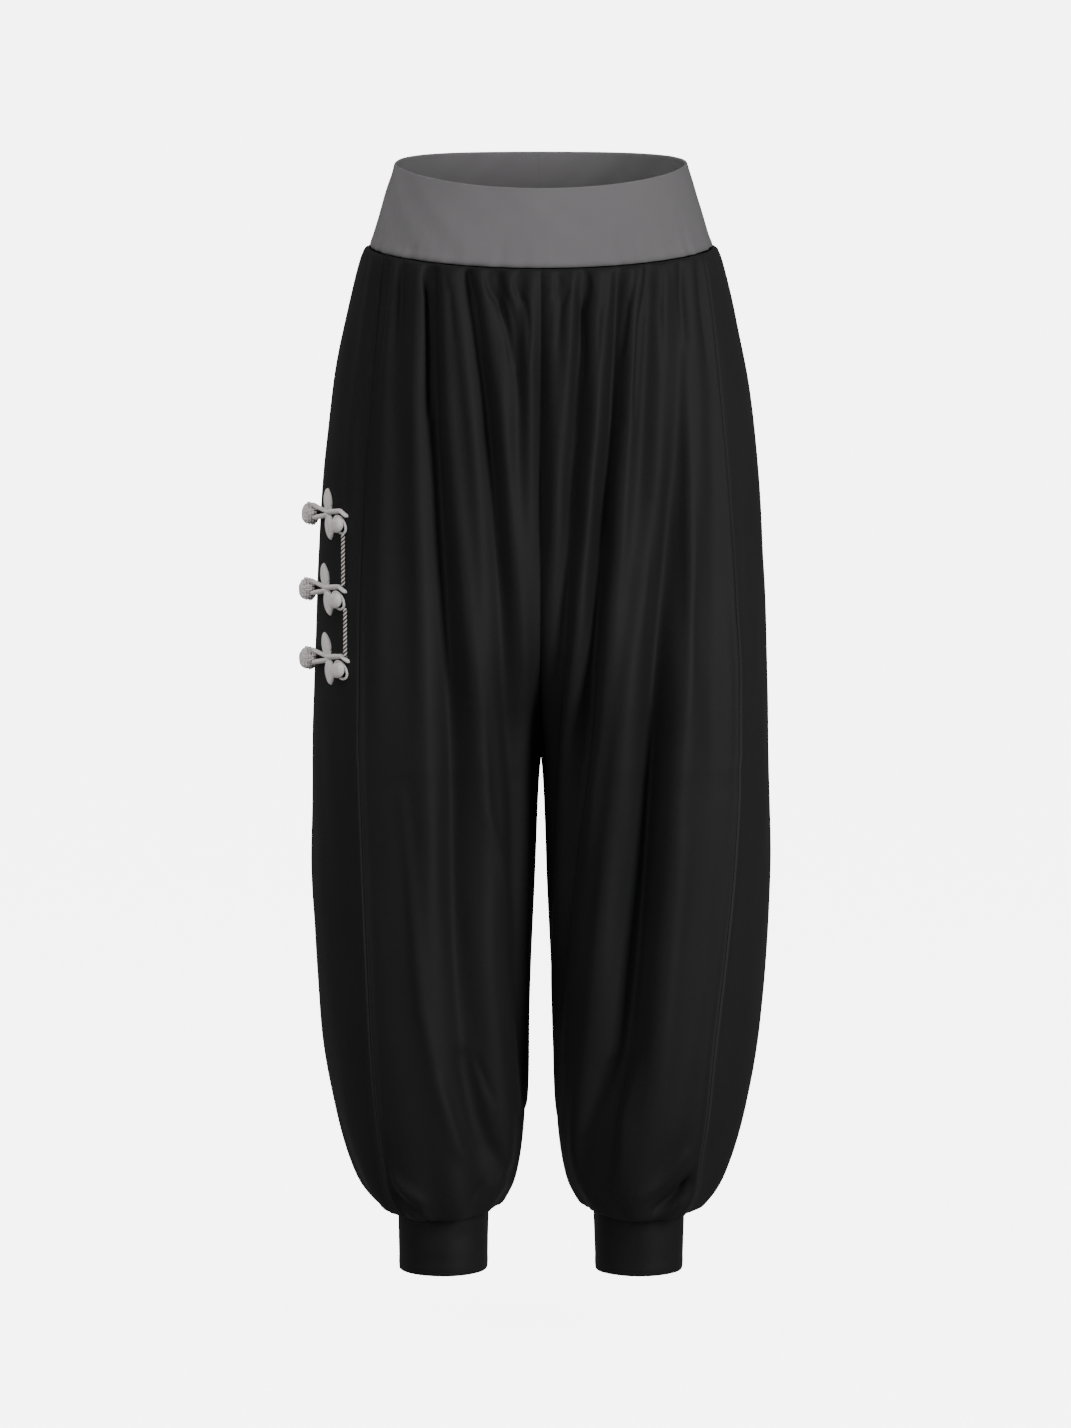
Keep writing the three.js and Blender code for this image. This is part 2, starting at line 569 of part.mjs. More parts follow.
const BLACK_JERSEY = new THREE.MeshStandardMaterial({ color: 0x1c1c1c, roughness: 0.92, metalness: 0 });
const GREY_JERSEY = new THREE.MeshStandardMaterial({ color: 0x727073, roughness: 0.88, metalness: 0 });
const SILVER_THREAD = new THREE.MeshStandardMaterial({ color: 0xb6b0ad, roughness: 0.55, metalness: 0.15 });

const trousers = new THREE.Group();

function sew(name, geometry, material) {
  const mesh = new THREE.Mesh(geometry, material);
  mesh.name = name;
  trousers.add(mesh);
  return mesh;
}

sew('waistband', waistband(), GREY_JERSEY);
sew('front_right', new Panel(-1, 1).geometry, BLACK_JERSEY);
sew('front_left', new Panel(1, 1).geometry, BLACK_JERSEY);
sew('back_right', backRight.geometry, BLACK_JERSEY);
sew('back_left', new Panel(1, -1).geometry, BLACK_JERSEY);
sew('cuff_right', cuff(-1), BLACK_JERSEY);
sew('cuff_left', cuff(1), BLACK_JERSEY);

for (const frog of FROGS) {
  const { name, across, z } = frog;
  const sprig = layOn(flatSprig(frog), across, z);
  sew(`sprig_${name}`, sprig, SILVER_THREAD);
  sew(`eye_${name}`, layOn(flatEye(), across, z), SILVER_THREAD);
  standOn(sew(`bead_${name}`, beadShape(), SILVER_THREAD), across, z, BEAD);
  standOn(sew(`rosette_${name}`, rosetteShape(), SILVER_THREAD), across, z, ROSETTE);
}
for (const run of TRIM_RUNS) sew(`trim_${run.name}`, trimRun(run), SILVER_THREAD);

export default trousers;
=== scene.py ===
# %% [markdown]
# # Black harem pants with a grey band
#
# The real pair is cut from soft black jersey: four full leg panels, gathered into a deep grey stretch band
# at the waist and into two plain cuffs at the ankles. Three frog fastenings of pale satin thread sit on the
# right hip, joined by a twisted cord.
#
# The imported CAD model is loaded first. It fixes where every piece goes. Each cloth piece is then made again
# as a thin shell on the same form, with the small creases, seams and stitches that the CAD model is too
# coarse for.

# %% Load the frame
import math

import bpy
import numpy as np
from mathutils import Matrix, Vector


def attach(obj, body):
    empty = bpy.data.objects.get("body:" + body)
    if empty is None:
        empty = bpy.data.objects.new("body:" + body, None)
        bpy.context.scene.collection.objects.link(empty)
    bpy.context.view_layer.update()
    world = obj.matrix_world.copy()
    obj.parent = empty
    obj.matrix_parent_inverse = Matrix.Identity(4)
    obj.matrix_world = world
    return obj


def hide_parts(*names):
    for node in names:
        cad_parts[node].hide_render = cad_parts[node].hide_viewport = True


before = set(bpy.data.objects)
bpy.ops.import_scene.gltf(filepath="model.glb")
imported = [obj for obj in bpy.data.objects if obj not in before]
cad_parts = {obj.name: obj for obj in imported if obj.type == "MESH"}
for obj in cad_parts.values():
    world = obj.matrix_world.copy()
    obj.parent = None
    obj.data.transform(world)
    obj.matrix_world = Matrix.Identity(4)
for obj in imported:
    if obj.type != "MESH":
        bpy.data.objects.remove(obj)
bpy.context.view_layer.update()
MM = 0.001  # the tailor's sizes below are in millimetres, and Blender works in metres
TURN = 2 * math.pi
print("frame loaded:", len(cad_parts), "CAD nodes")

# %% [markdown]
# ## A smooth run through a short table
#
# A pattern cutter writes down a few sizes and joins them by eye with a smooth line. This helper does the
# same: it runs a Hermite curve through the values of a table. A spline object could do it too, but here
# whole arrays of points are worked out at once, which keeps a cloth of forty thousand points quick.

# %% Smooth runs and tables
def curve(at, knots, values):
    """Values that run smoothly through a table's values at its rising knots."""
    at, knots, values = (np.asarray(x, float) for x in (at, knots, values))
    slopes = np.empty_like(values)
    slopes[1:-1] = (values[2:] - values[:-2]) / (knots[2:] - knots[:-2])
    slopes[0] = (values[1] - values[0]) / (knots[1] - knots[0])
    slopes[-1] = (values[-1] - values[-2]) / (knots[-1] - knots[-2])
    x = np.clip(at, knots[0], knots[-1])
    i = np.clip(np.searchsorted(knots, x, side="right") - 1, 0, len(knots) - 2)
    span = knots[i + 1] - knots[i]
    t = (x - knots[i]) / span
    rise = values[i] * (1 + 2 * t) * (1 - t) ** 2 + values[i + 1] * t * t * (3 - 2 * t)
    return rise + span * (slopes[i] * t * (1 - t) ** 2 - slopes[i + 1] * t * t * (1 - t))


def table(names, *rows):
    """A table by column: each name leads to the array of its values."""
    return dict(zip(names.split(), np.array(rows, float).T))


def lerp(a, b, t):
    return a + (b - a) * t


def bell(t):
    return np.exp(-np.square(t))


def smooth(t):
    t = np.clip(t, 0, 1)
    return t * t * (3 - 2 * t)


def turn_from(at, angle):
    """The turn from one angle to another, never more than half way round."""
    return np.arctan2(np.sin(angle - at), np.cos(angle - at))


# %% [markdown]
# ## The form of one leg
#
# Each row is a level of one leg with its half of the seat. `outer` and `inner` are how far its sides lie
# from the centre line, and above the crotch `inner` is below 0, because there both legs are one seat.
# `front` and `back` are half depths about the line `middle`. `seam_left` and `seam_right` are where each
# leg's side seam shows from the front, and `tilt` and `sag` let a level hang lower at the front. These are
# the sizes of the CAD model, so both have the same form.

# %% Leg levels
LEG = table(
    "z outer inner front back middle seam_left seam_right tilt sag loose gather",
    (-37.5, 153, -153, 104, 110, 2, 140, 138, 11, 5, 0.25, 0),
    (-43, 159, -158.6, 109, 117, 2, 144, 141, 11, 5, 0.7, 0),
    (-60, 164.5, -163, 112, 123, 3, 147, 143, 10, 5, 1, 0),
    (-100, 174, -170, 113, 131, 4, 152, 147, 8, 3, 1, 0),
    (-160, 186, -175, 111, 139, 5, 158, 152, 4, 1, 1, 0),
    (-240, 195, -158, 107, 141, 5, 165, 157, 0, 0, 1, 0),
    (-320, 200, -120, 106, 136, 5, 171, 160, 0, 0, 1, 0),
    (-360, 201.5, -86, 107, 132, 5, 173, 161, 0, 0, 1, 0),
    (-390, 202.5, -58, 108, 129, 5, 175, 161, 0, 0, 1, 0),
    (-415, 203.6, -35, 109, 127, 5, 176, 161, 0, 0, 1, 0),
    (-440, 204.5, -17.5, 110, 125, 5, 176, 161, 0, 0, 1, 0),
    (-455, 204.8, -9.7, 110, 124, 5, 176, 161, 0, 0, 1, 0),
    (-470, 205, -4.6, 110, 122, 5, 176, 161, 0, 0, 1, 0),
    (-486, 205.2, -1.4, 110, 121, 5, 176, 161, 0, 0, 1, 0),
    (-497, 205.5, 0, 110, 120, 5, 175, 160, 0, 0, 1, 0),
    (-512, 205.7, 1.4, 109, 119, 5, 175, 160, 0, 0, 1, 0),
    (-540, 206.2, 2.9, 108, 117, 5, 174, 159, 0, 0, 1, 0),
    (-600, 207, 5.2, 105, 113, 6, 170, 157, 0, 0, 1, 0),
    (-680, 203, 8.8, 102, 108, 6, 162, 154, 0, 0, 1, 0),
    (-750, 197.6, 11.4, 98, 104, 7, 154, 151, 0, 0, 1, 0.3),
    (-810, 187.3, 13.4, 91, 96, 7, 148, 147, 0, 1, 1, 0.8),
    (-850, 176.8, 17.8, 84, 87, 8, 142, 143, 0, 2.5, 1, 1.4),
    (-880, 165, 24.8, 76, 77, 8, 138, 139, 0, 4, 0.9, 2),
    (-897, 153.2, 33.5, 69, 69, 8, 131, 132, 0, 5, 0.7, 2.4),
    (-905, 145, 38.8, 62.5, 62.5, 8, 124, 125, 0, 5, 0.5, 1.8),
    (-904, 137.4, 43, 55, 55, 8, 118, 119, 0, 4, 0.3, 1),
    (-897, 133.8, 45.4, 50, 50, 8, 116, 116, 0, 2, 0.1, 0.5),
    (-890.8, 132.4, 45.4, 48.3, 48.3, 8, 115, 115, 0, 0, 0, 0),
    (-889.8, 129.4, 48.2, 45.4, 45.4, 8, 113, 113, 0, 0, 0, 0),
)
LAST_LEVEL = len(LEG["z"]) - 1
CROTCH_LEVEL = int(np.argmin(np.abs(LEG["inner"])))
print("leg levels:", LAST_LEVEL + 1, "crotch at level", CROTCH_LEVEL)


def section_at(level):
    """The leg's section at a level, which may lie between two rows of the table."""
    s = {name: curve(level, np.arange(LAST_LEVEL + 1), column) for name, column in LEG.items()}
    s["centre"] = (s["outer"] + s["inner"]) / 2
    s["radius"] = (s["outer"] - s["inner"]) / 2
    s["inner_angle"] = np.arccos(-np.minimum(1, s["centre"] / s["radius"]))
    return s


# %% [markdown]
# ## The long folds
#
# Jersey this full hangs in long soft troughs. They start at the gathers under the band, swing over the
# thigh and fade towards the cuff. Cloth simulation would fold it somewhere, but not where the real pair
# folds, so each trough is given one by one: its distance from the centre line and its depth at five heights.
# The back isn't in the photograph, so its folds are similar ones of their own.

# %% Fold table
FOLD_DROPS = (40, 200, 497, 700, 890)  # how far below the middle of the waist
FOLDS = table(
    "leg face x0 x1 x2 x3 x4 d0 d1 d2 d3 d4 w_top w_foot",
    (-1, 1, 96, 94, 76, 70, 50, 6.5, 11, 13, 12, 4, 6, 18),
    (-1, 1, 66, 46, 26, 20, 10, 5.5, 9, 5, 4, 0, 6, 12),
    (-1, 1, 40, 14, 8, 8, 8, 4.0, 1, 0, 0, 0, 6, 10),
    (-1, 1, 17, 18, 6, 6, 6, 3.0, 4, 0, 0, 0, 6, 10),
    (-1, 1, 138, 154, 158, 160, 150, 5, 4, 0, 0, 0, 8, 12),
    (-1, 1, 122, 128, 120, 108, 70, 3, 1, 0, 0, 0, 6, 15),
    (1, 1, 37, 31, 13, 10, 10, 5, 9, 4, 0, 0, 6, 12),
    (1, 1, 69, 62, 35, 17, 14, 5, 10, 10, 3, 0, 6, 13),
    (1, 1, 97, 90, 84, 80, 56, 4, 3, 0, 0, 0, 6, 14),
    (1, 1, 124, 121, 95, 77, 50, 2.5, 4, 21, 20, 3, 8, 18),
    (1, 1, 17, 14, 6, 6, 6, 3.0, 3, 0, 0, 0, 6, 10),
    (1, 1, 139, 152, 152, 142, 110, 2.5, 2, 2, 2, 2, 8, 13),
    (0, 1, 0, 0, 0, 10, 10, 3.0, 9, 0, 0, 0, 6, 10),
    (-1, -1, 20, 26, 30, 40, 60, 4.5, 6, 8, 6, 3, 7, 16),
    (-1, -1, 48, 58, 70, 84, 96, 5.0, 6, 8, 11, 5, 8, 17),
    (-1, -1, 78, 92, 112, 120, 112, 4.5, 5, 11, 8, 4, 8, 17),
    (-1, -1, 108, 128, 150, 152, 130, 4.5, 5, 5, 5, 2, 8, 15),
    (1, -1, 24, 30, 40, 52, 70, 4.5, 7, 10, 8, 3, 7, 16),
    (1, -1, 54, 66, 84, 96, 104, 5.0, 5, 9, 10, 5, 8, 17),
    (1, -1, 84, 100, 124, 132, 118, 4.5, 6, 8, 9, 4, 8, 16),
    (1, -1, 114, 136, 158, 160, 134, 4.5, 4, 5, 4, 2, 8, 15),
    (0, -1, 0, 0, 0, 10, 10, 3.0, 4, 0, 0, 0, 7, 10),
)
CUFF_GATHERS = {1: 9, -1: 10}  # large gathers round the left leg, 1, and the right leg, -1
RIDGE_AWAY, RIDGE_SHARE = 2, 0.4  # beside a trough, in its half widths and its depths
print("long folds:", len(FOLDS["leg"]))


def depth_at(s, angle):
    return np.where(np.sin(angle) > 0, s["front"], s["back"])


def speed_at(s, angle):
    """Millimetres of cloth for each radian round the leg."""
    return np.hypot(s["radius"] * np.sin(angle), depth_at(s, angle) * np.cos(angle))


def folds(leg, s, angle):
    """How far the folds push the cloth of one leg outwards."""
    drop = -s["z"]
    share = np.clip((drop - FOLD_DROPS[0]) / (FOLD_DROPS[-1] - FOLD_DROPS[0]), 0, 1)
    push = 0
    for i in np.flatnonzero(FOLDS["leg"] != -leg):
        across = curve(drop, FOLD_DROPS, [FOLDS[f"x{k}"][i] for k in range(5)])
        depth = np.maximum(curve(drop, FOLD_DROPS, [FOLDS[f"d{k}"][i] for k in range(5)]), 0)
        at = FOLDS["face"][i] * np.arccos(np.clip((across - s["centre"]) / s["radius"], -1, 1))
        t = turn_from(at, angle) * speed_at(s, at) / lerp(FOLDS["w_top"][i], FOLDS["w_foot"][i], share)
        push = push - depth * (bell(t) - RIDGE_SHARE * (bell(t - RIDGE_AWAY) + bell(t + RIDGE_AWAY)))
    return s["loose"] * push + s["gather"] * np.cos(CUFF_GATHERS[leg] * (angle - math.pi))


# %% [markdown]
# ## The cloth's face
#
# Where the two centre seams meet, the folds of both legs have to agree, or the seat would show a step. So
# within 20 mm of that seam each leg moves to the middle of the two. The points are worked out for a leg on
# the left, and a right leg is that leg mirrored, with its own folds.

# %% Cloth face
JOIN_OPENS, JOIN_REACH = 3, 20  # mm


def relief(leg, s, angle):
    edge = np.where(angle < 0, -1, 1) * s["inner_angle"]
    near = bell((edge - angle) * speed_at(s, edge) / JOIN_REACH)
    joined = bell(np.maximum(s["inner"], 0) / JOIN_OPENS) * near
    return folds(leg, s, angle) + joined * (folds(-leg, s, edge) - folds(leg, s, edge)) / 2


def cloth_face(leg, level, angle):
    """Points of the cloth's outer face at levels and angles of the same shape."""
    s = section_at(level)
    depth = depth_at(s, angle)
    out = np.stack([np.cos(angle) / s["radius"], -np.sin(angle) / depth], -1)
    out /= np.linalg.norm(out, axis=-1, keepdims=True)
    push = relief(leg, s, angle)
    lean = np.sin(angle)
    x = s["centre"] + s["radius"] * np.cos(angle) + out[..., 0] * push
    y = s["middle"] - depth * lean + out[..., 1] * push
    return np.stack([x, y, s["z"] - s["tilt"] * lean - s["sag"] * lean * lean], -1)


def unit(v):
    return v / np.maximum(np.linalg.norm(v, axis=-1, keepdims=True), 1e-9)


print("left side of the cloth at the crotch, mm:", cloth_face(1, CROTCH_LEVEL, 0.0).round(1))


# %% [markdown]
# ## A grid over one panel
#
# A panel runs from the side seam round to the inner leg, and above the crotch to the centre seam. Its grid
# has a point about every 3 mm, so that the small creases show in the mesh and not only in its shading. Rows
# crowd together at both ends, where the cloth turns in to its seams.

# %% Panel grid
PANEL_COLUMNS = {1: 20, -1: 22}  # columns of the CAD panel on the front, 1, and the back, -1
TURN_COLUMNS = 3
TURN_ABOVE, TURN_BELOW, TURN_FROM, TURN_TO = 2.04, 2.7, -420, -700
ROW_STEP = 3.4  # mm
FINE_COLUMNS = 130
EDGE_STEPS = np.array([0, 0.9, 1.8, 2.8, 4, 5.4])  # mm from a sewn edge


def panel_angle(s, panel, share):
    """The angle of a place across the panel, from the side seam, share 0, to the inner seam, share 1."""
    leg, face = panel
    seam = s["seam_left"] if leg > 0 else s["seam_right"]
    columns = PANEL_COLUMNS[face]
    column = share * columns
    even = columns - TURN_COLUMNS
    start = face * np.arccos(np.clip((seam - s["centre"]) / s["radius"], -1, 1))
    down = np.clip((TURN_FROM - s["z"]) / (TURN_FROM - TURN_TO), 0, 1)
    turn = np.minimum(
        start + even / columns * (s["inner_angle"] - start), lerp(TURN_ABOVE, TURN_BELOW, down)
    )
    last = lerp(turn, s["inner_angle"], (column - even) / TURN_COLUMNS)
    return face * np.where(column < even, lerp(start, turn, column / even), last)


def even_levels(step):
    """Levels that lie about step apart down the cloth, with closer rows at both ends."""
    fine = np.linspace(0, LAST_LEVEL, 3000)
    s = section_at(fine)
    gone = [np.hypot(np.diff(s[side]), np.diff(s["z"])) for side in ("outer", "front")]
    down = np.concatenate([[0], np.cumsum(np.mean(gone, 0))])
    inside = np.linspace(EDGE_STEPS[-1], down[-1] - EDGE_STEPS[-1], int(down[-1] / step))
    wanted = np.concatenate([EDGE_STEPS[:-1], inside, down[-1] - EDGE_STEPS[-2::-1]])
    return np.interp(wanted, down, fine), wanted


LEVELS, DOWN = even_levels(ROW_STEP)
print("panel rows:", len(LEVELS), "cloth from band to cuff:", round(DOWN[-1]), "mm")


def panel_shares(length):
    """Places across a panel that is about length wide, closer together at both seams."""
    inside = np.linspace(EDGE_STEPS[-1], length - EDGE_STEPS[-1], FINE_COLUMNS)
    return np.concatenate([EDGE_STEPS[:-1], inside, length - EDGE_STEPS[-2::-1]]) / length


# %% [markdown]
# ## Small creases
#
# Between the long folds a worn jersey has short ones: pleats that fan out under the band, puckers above the
# cuffs, and soft ridges across the thigh. Each is a stroke: a line through a few points, given by how far
# they lie from the centre line and how high, with a height (below 0 for a trough) and a half width. It
# fades in and out along its length. Painting them with a noise texture would be quicker, but they would
# look like noise.

# %% Stroke table
FRONT_RIGHT, FRONT_LEFT, BACK_RIGHT, BACK_LEFT = (-1, 1), (1, 1), (-1, -1), (1, -1)
STROKES = [
    # panel, height, half width, points
    (FRONT_RIGHT, -5.5, 3.2, ((98, -42), (98, -80), (97, -190))),
    (FRONT_RIGHT, -1.6, 3.0, ((120, -42), (123, -80), (127, -140))),
    (FRONT_RIGHT, -2.6, 3.0, ((60, -43), (57, -80), (50, -130))),
    (FRONT_RIGHT, -3.6, 3.2, ((43, -43), (36, -80), (24, -140))),
    (FRONT_RIGHT, -1.4, 2.8, ((31, -44), (27, -80), (20, -130))),
    (FRONT_RIGHT, -2.0, 2.6, ((14, -44), (14, -80), (12, -140))),
    (FRONT_RIGHT, -1.2, 3.0, ((82, -43), (80, -75), (77, -120))),
    (FRONT_RIGHT, -6, 4.4, ((133, -42), (137, -80), (144, -130), (154, -210))),
    (FRONT_RIGHT, -1.4, 3.6, ((58, -757), (50, -780), (40, -806))),
    (FRONT_RIGHT, 0.5, 4.0, ((64, -750), (55, -785), (44, -812))),
    (FRONT_RIGHT, 2.4, 6, ((123, -520), (112, -632), (106, -712), (89, -788), (66, -852))),
    (FRONT_RIGHT, 2.0, 8, ((69, -282), (54, -436), (47, -537), (31, -606), (22, -676), (14, -710))),
    (FRONT_RIGHT, 1.4, 10, ((138, -180), (141, -330), (146, -480))),
    (FRONT_RIGHT, -10, 5.0, ((152, -862), (142, -880), (127, -893), (106, -901))),
    (FRONT_RIGHT, 4.0, 6.0, ((138, -860), (124, -878), (100, -892))),
    (FRONT_RIGHT, -1.8, 4, ((52, -874), (60, -888), (68, -897))),
    (FRONT_RIGHT, -5, 9, ((70, -760), (58, -813), (49, -840), (34, -867), (24, -884))),
    (FRONT_RIGHT, 3, 8, ((92, -780), (83, -813), (74, -840), (57, -867), (40, -888))),
    (FRONT_LEFT, -2.6, 3.0, ((35, -43), (36, -90), (38, -160))),
    (FRONT_LEFT, -1.6, 3.2, ((52, -43), (52, -90), (49, -150))),
    (FRONT_LEFT, -1.4, 2.8, ((20, -44), (18, -80), (14, -130))),
    (FRONT_LEFT, -1.2, 2.8, ((9, -44), (8, -80), (7, -120))),
    (FRONT_LEFT, -2.4, 2.8, ((79, -43), (76, -85), (70, -140))),
    (FRONT_LEFT, -2.6, 3.0, ((90, -43), (87, -100), (82, -190))),
    (FRONT_LEFT, -1.3, 3.4, ((103, -43), (105, -90), (108, -150))),
    (FRONT_LEFT, -1.4, 3.4, ((120, -41), (123, -80), (127, -130))),
    (FRONT_LEFT, -1.3, 3.4, ((134, -38), (141, -90), (148, -150))),
    (FRONT_LEFT, 3.0, 6, ((128, -130), (131, -240), (132, -340), (128, -460))),
    (FRONT_LEFT, 2.2, 8, ((70, -200), (66, -300), (58, -400), (46, -520), (40, -620), (32, -690))),
    (FRONT_LEFT, -1.4, 7, ((100, -260), (98, -330), (92, -400))),
    (FRONT_LEFT, 1.6, 9, ((128, -560), (118, -680), (102, -790))),
    (FRONT_LEFT, -11, 6.0, ((142, -864), (126, -880), (98, -901))),
    (FRONT_LEFT, 4.2, 6, ((128, -848), (108, -870), (84, -890))),
    (FRONT_LEFT, 2.0, 4, ((142, -878), (134, -888), (122, -896))),
    (FRONT_LEFT, -2.0, 4, ((58, -882), (70, -893), (82, -900))),
    (FRONT_LEFT, -6, 10, ((64, -770), (50, -813), (40, -840), (38, -870), (38, -888))),
    (FRONT_LEFT, 4.5, 9, ((84, -770), (75, -813), (74, -840), (70, -870), (64, -892))),
    (BACK_RIGHT, -2.2, 3.0, ((20, -60), (22, -100), (24, -160))),
    (BACK_RIGHT, -2.0, 3.0, ((36, -60), (39, -95), (43, -140))),
    (BACK_RIGHT, -2.2, 3.2, ((62, -58), (67, -110), (74, -170))),
    (BACK_RIGHT, -1.8, 3.0, ((92, -55), (99, -100), (108, -150))),
    (BACK_RIGHT, -1.8, 3.2, ((122, -50), (133, -100), (143, -160))),
    (BACK_RIGHT, 2.0, 9, ((44, -250), (52, -400), (60, -540))),
    (BACK_RIGHT, -2.2, 6, ((14, -380), (26, -450), (46, -510))),
    (BACK_RIGHT, 2.2, 9, ((90, -520), (104, -640), (106, -760))),
    (BACK_RIGHT, -2.4, 4, ((60, -860), (68, -884), (76, -897))),
    (BACK_RIGHT, -2.4, 4, ((120, -862), (112, -884), (103, -897))),
    (BACK_LEFT, -2.2, 3.0, ((18, -60), (21, -105), (26, -160))),
    (BACK_LEFT, -2.0, 3.0, ((40, -60), (44, -100), (49, -150))),
    (BACK_LEFT, -2.2, 3.2, ((70, -58), (76, -105), (84, -170))),
    (BACK_LEFT, -1.8, 3.0, ((98, -54), (106, -100), (116, -150))),
    (BACK_LEFT, -1.8, 3.2, ((128, -50), (138, -95), (149, -150))),
    (BACK_LEFT, 2.0, 9, ((50, -240), (60, -380), (70, -520))),
    (BACK_LEFT, -2.2, 6, ((12, -370), (28, -440), (52, -500))),
    (BACK_LEFT, 2.2, 9, ((104, -540), (114, -650), (112, -770))),
    (BACK_LEFT, -2.4, 4, ((64, -862), (74, -885), (82, -898))),
    (BACK_LEFT, -2.4, 4, ((126, -860), (116, -884), (105, -898))),
]
print("strokes:", len(STROKES))

# %% [markdown]
# ## Drawing a stroke on the cloth
#
# The points of a stroke are first looked up on the panel's grid, which gives their place along and down the
# cloth. Distances are then measured in the cloth itself, so that a crease keeps its width where the leg
# turns away from the viewer.

# %% Strokes on cloth
STROKE_START = 0.12  # a stroke begins a little way into its fade, so its first end is the stronger one


def place_on_cloth(points, arc, across, height):
    """The (arc, down) place on the cloth for each (across, height) point of a stroke."""
    visible = DOWN < DOWN[np.argmin(height)]
    rows = np.flatnonzero(visible)
    placed = []
    for x, z in points:
        row = rows[np.argmin(np.abs(height[rows] - z))]
        order = np.argsort(across[row])
        placed.append((np.interp(x, across[row][order], arc[row][order]), DOWN[row]))
    return np.array(placed)


def stroke_push(arc, points, height, half_width):
    """How far one stroke pushes each point of the grid outwards."""
    down = DOWN[:, None]
    lengths = np.linalg.norm(np.diff(points, axis=0), axis=1)
    gone = np.concatenate([[0], np.cumsum(lengths)])
    nearest = np.full(arc.shape, np.inf)
    along = np.zeros(arc.shape)
    for i, length in enumerate(lengths):
        step = (points[i + 1] - points[i]) / length
        t = np.clip((arc - points[i, 0]) * step[0] + (down - points[i, 1]) * step[1], 0, length)
        away = np.hypot(arc - points[i, 0] - t * step[0], down - points[i, 1] - t * step[1])
        closer = away < nearest
        nearest = np.where(closer, away, nearest)
        along = np.where(closer, gone[i] + t, along)
    share = along / gone[-1]
    fade = np.sin(math.pi * np.clip(lerp(STROKE_START, 1.0, share), 0, 1)) ** 0.8
    return height * fade * bell(nearest / half_width)


# %% [markdown]
# ## Seams, puckers and the hand of the cloth
#
# A sewn edge sinks in a little, and the seam allowance pressed behind it lifts the cloth beside it into a
# low ridge. Under the band and above the cuff the gathers are finer than the folds: a few waves of
# different lengths, added up, fade out within a few centimetres. Last comes a very low unevenness, long
# down the leg and short across it, because cloth that is filled out is never quite smooth.

# %% Seams and puckers
SEAM_DIP_WIDTH, SEAM_RIDGE_WIDTH = 1.3, 2.4
SEAMS = {
    # kind: how deep it sinks, how high the ridge beside it is, and how far away that ridge lies
    "side": (0.3, 1.2, 2.6),
    "centre": (0.25, 0.1, 4),
    "end": (1.1, 0.8, 4.2),
    "ring": (0.9, 0.1, 3),
}


print("kinds of seam:", ", ".join(SEAMS))


def seam_push(away, kind):
    dip, ridge, ridge_at = SEAMS[kind]
    return ridge * bell((away - ridge_at) / SEAM_RIDGE_WIDTH) - dip * bell(away / SEAM_DIP_WIDTH)


def waves(arc, shortest, longest, seed, count=7):
    """A few waves of different lengths across the cloth, between about -1 and 1."""
    draw = np.random.default_rng(seed)
    total = 0
    for _ in range(count):
        length = draw.uniform(shortest, longest)
        total = total + np.sin(TURN * arc / length + draw.uniform(0, TURN))
    return total / math.sqrt(count)


def unevenness(arc, down, seed, count=26):
    """Low bumps, long down the leg and short across it, between about -1 and 1."""
    draw = np.random.default_rng(seed)
    total = 0
    for _ in range(count):
        across = draw.uniform(30, 90) * draw.choice((-1, 1))
        length = draw.uniform(110, 320)
        turn = draw.uniform(0, TURN)
        total = total + np.sin(TURN * (arc / across + down / length) + turn)
    return total / math.sqrt(count)


# %% [markdown]
# ## A shell of cloth
#
# Every cloth piece is a closed shell: an outer face, an inner face one cloth thickness behind it, and a
# strip round the edge. Blender's Solidify modifier can do that, but the faces are written here, so that the
# mesh holds the shell just as it was made. Each point also gets its place on the flat cloth in
# metres, as a UV map that the knit follows.

# %% Shells
def face_normals(points):
    across = np.gradient(points, axis=1)
    down = np.gradient(points, axis=0)
    return unit(np.cross(across, down))


def grid_faces(rows, columns, start=0):
    """Faces of a grid whose points are numbered row by row from start."""
    a = start + (np.arange(rows - 1)[:, None] * columns + np.arange(columns - 1)).ravel()
    return np.stack([a, a + 1, a + columns + 1, a + columns], 1)


def make_piece(name, points, faces, cloth_map, material):
    """A mesh object in metres from points in mm, with its faces turned outwards."""
    points = np.asarray(points, float).reshape(-1, 3) * MM
    faces = np.asarray(faces)
    a, b, c = (points[faces[:, k]] for k in range(3))
    volume = (a * np.cross(b, c)).sum()
    if faces.shape[1] == 4:
        volume += (a * np.cross(c, points[faces[:, 3]])).sum()
    if volume < 0:
        faces = faces[:, ::-1]
    mesh = bpy.data.meshes.new(name)
    mesh.from_pydata(points.tolist(), [], faces.tolist())
    layer = mesh.uv_layers.new(name="cloth")
    flat = np.asarray(cloth_map, float).reshape(-1, 2) * MM
    layer.data.foreach_set("uv", flat[faces.ravel()].astype(np.float32).ravel())
    mesh.polygons.foreach_set("use_smooth", [True] * len(faces))
    mesh.materials.append(material)
    mesh.update()
    piece = bpy.data.objects.new(name, mesh)
    bpy.context.scene.collection.objects.link(piece)
    return piece


def sew(name, node, shape, material):
    """A piece from its points, faces and flat places, put in the place of a CAD node."""
    piece = make_piece(name, *shape, material)
    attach(piece, "root")
    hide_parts(node)
    return piece


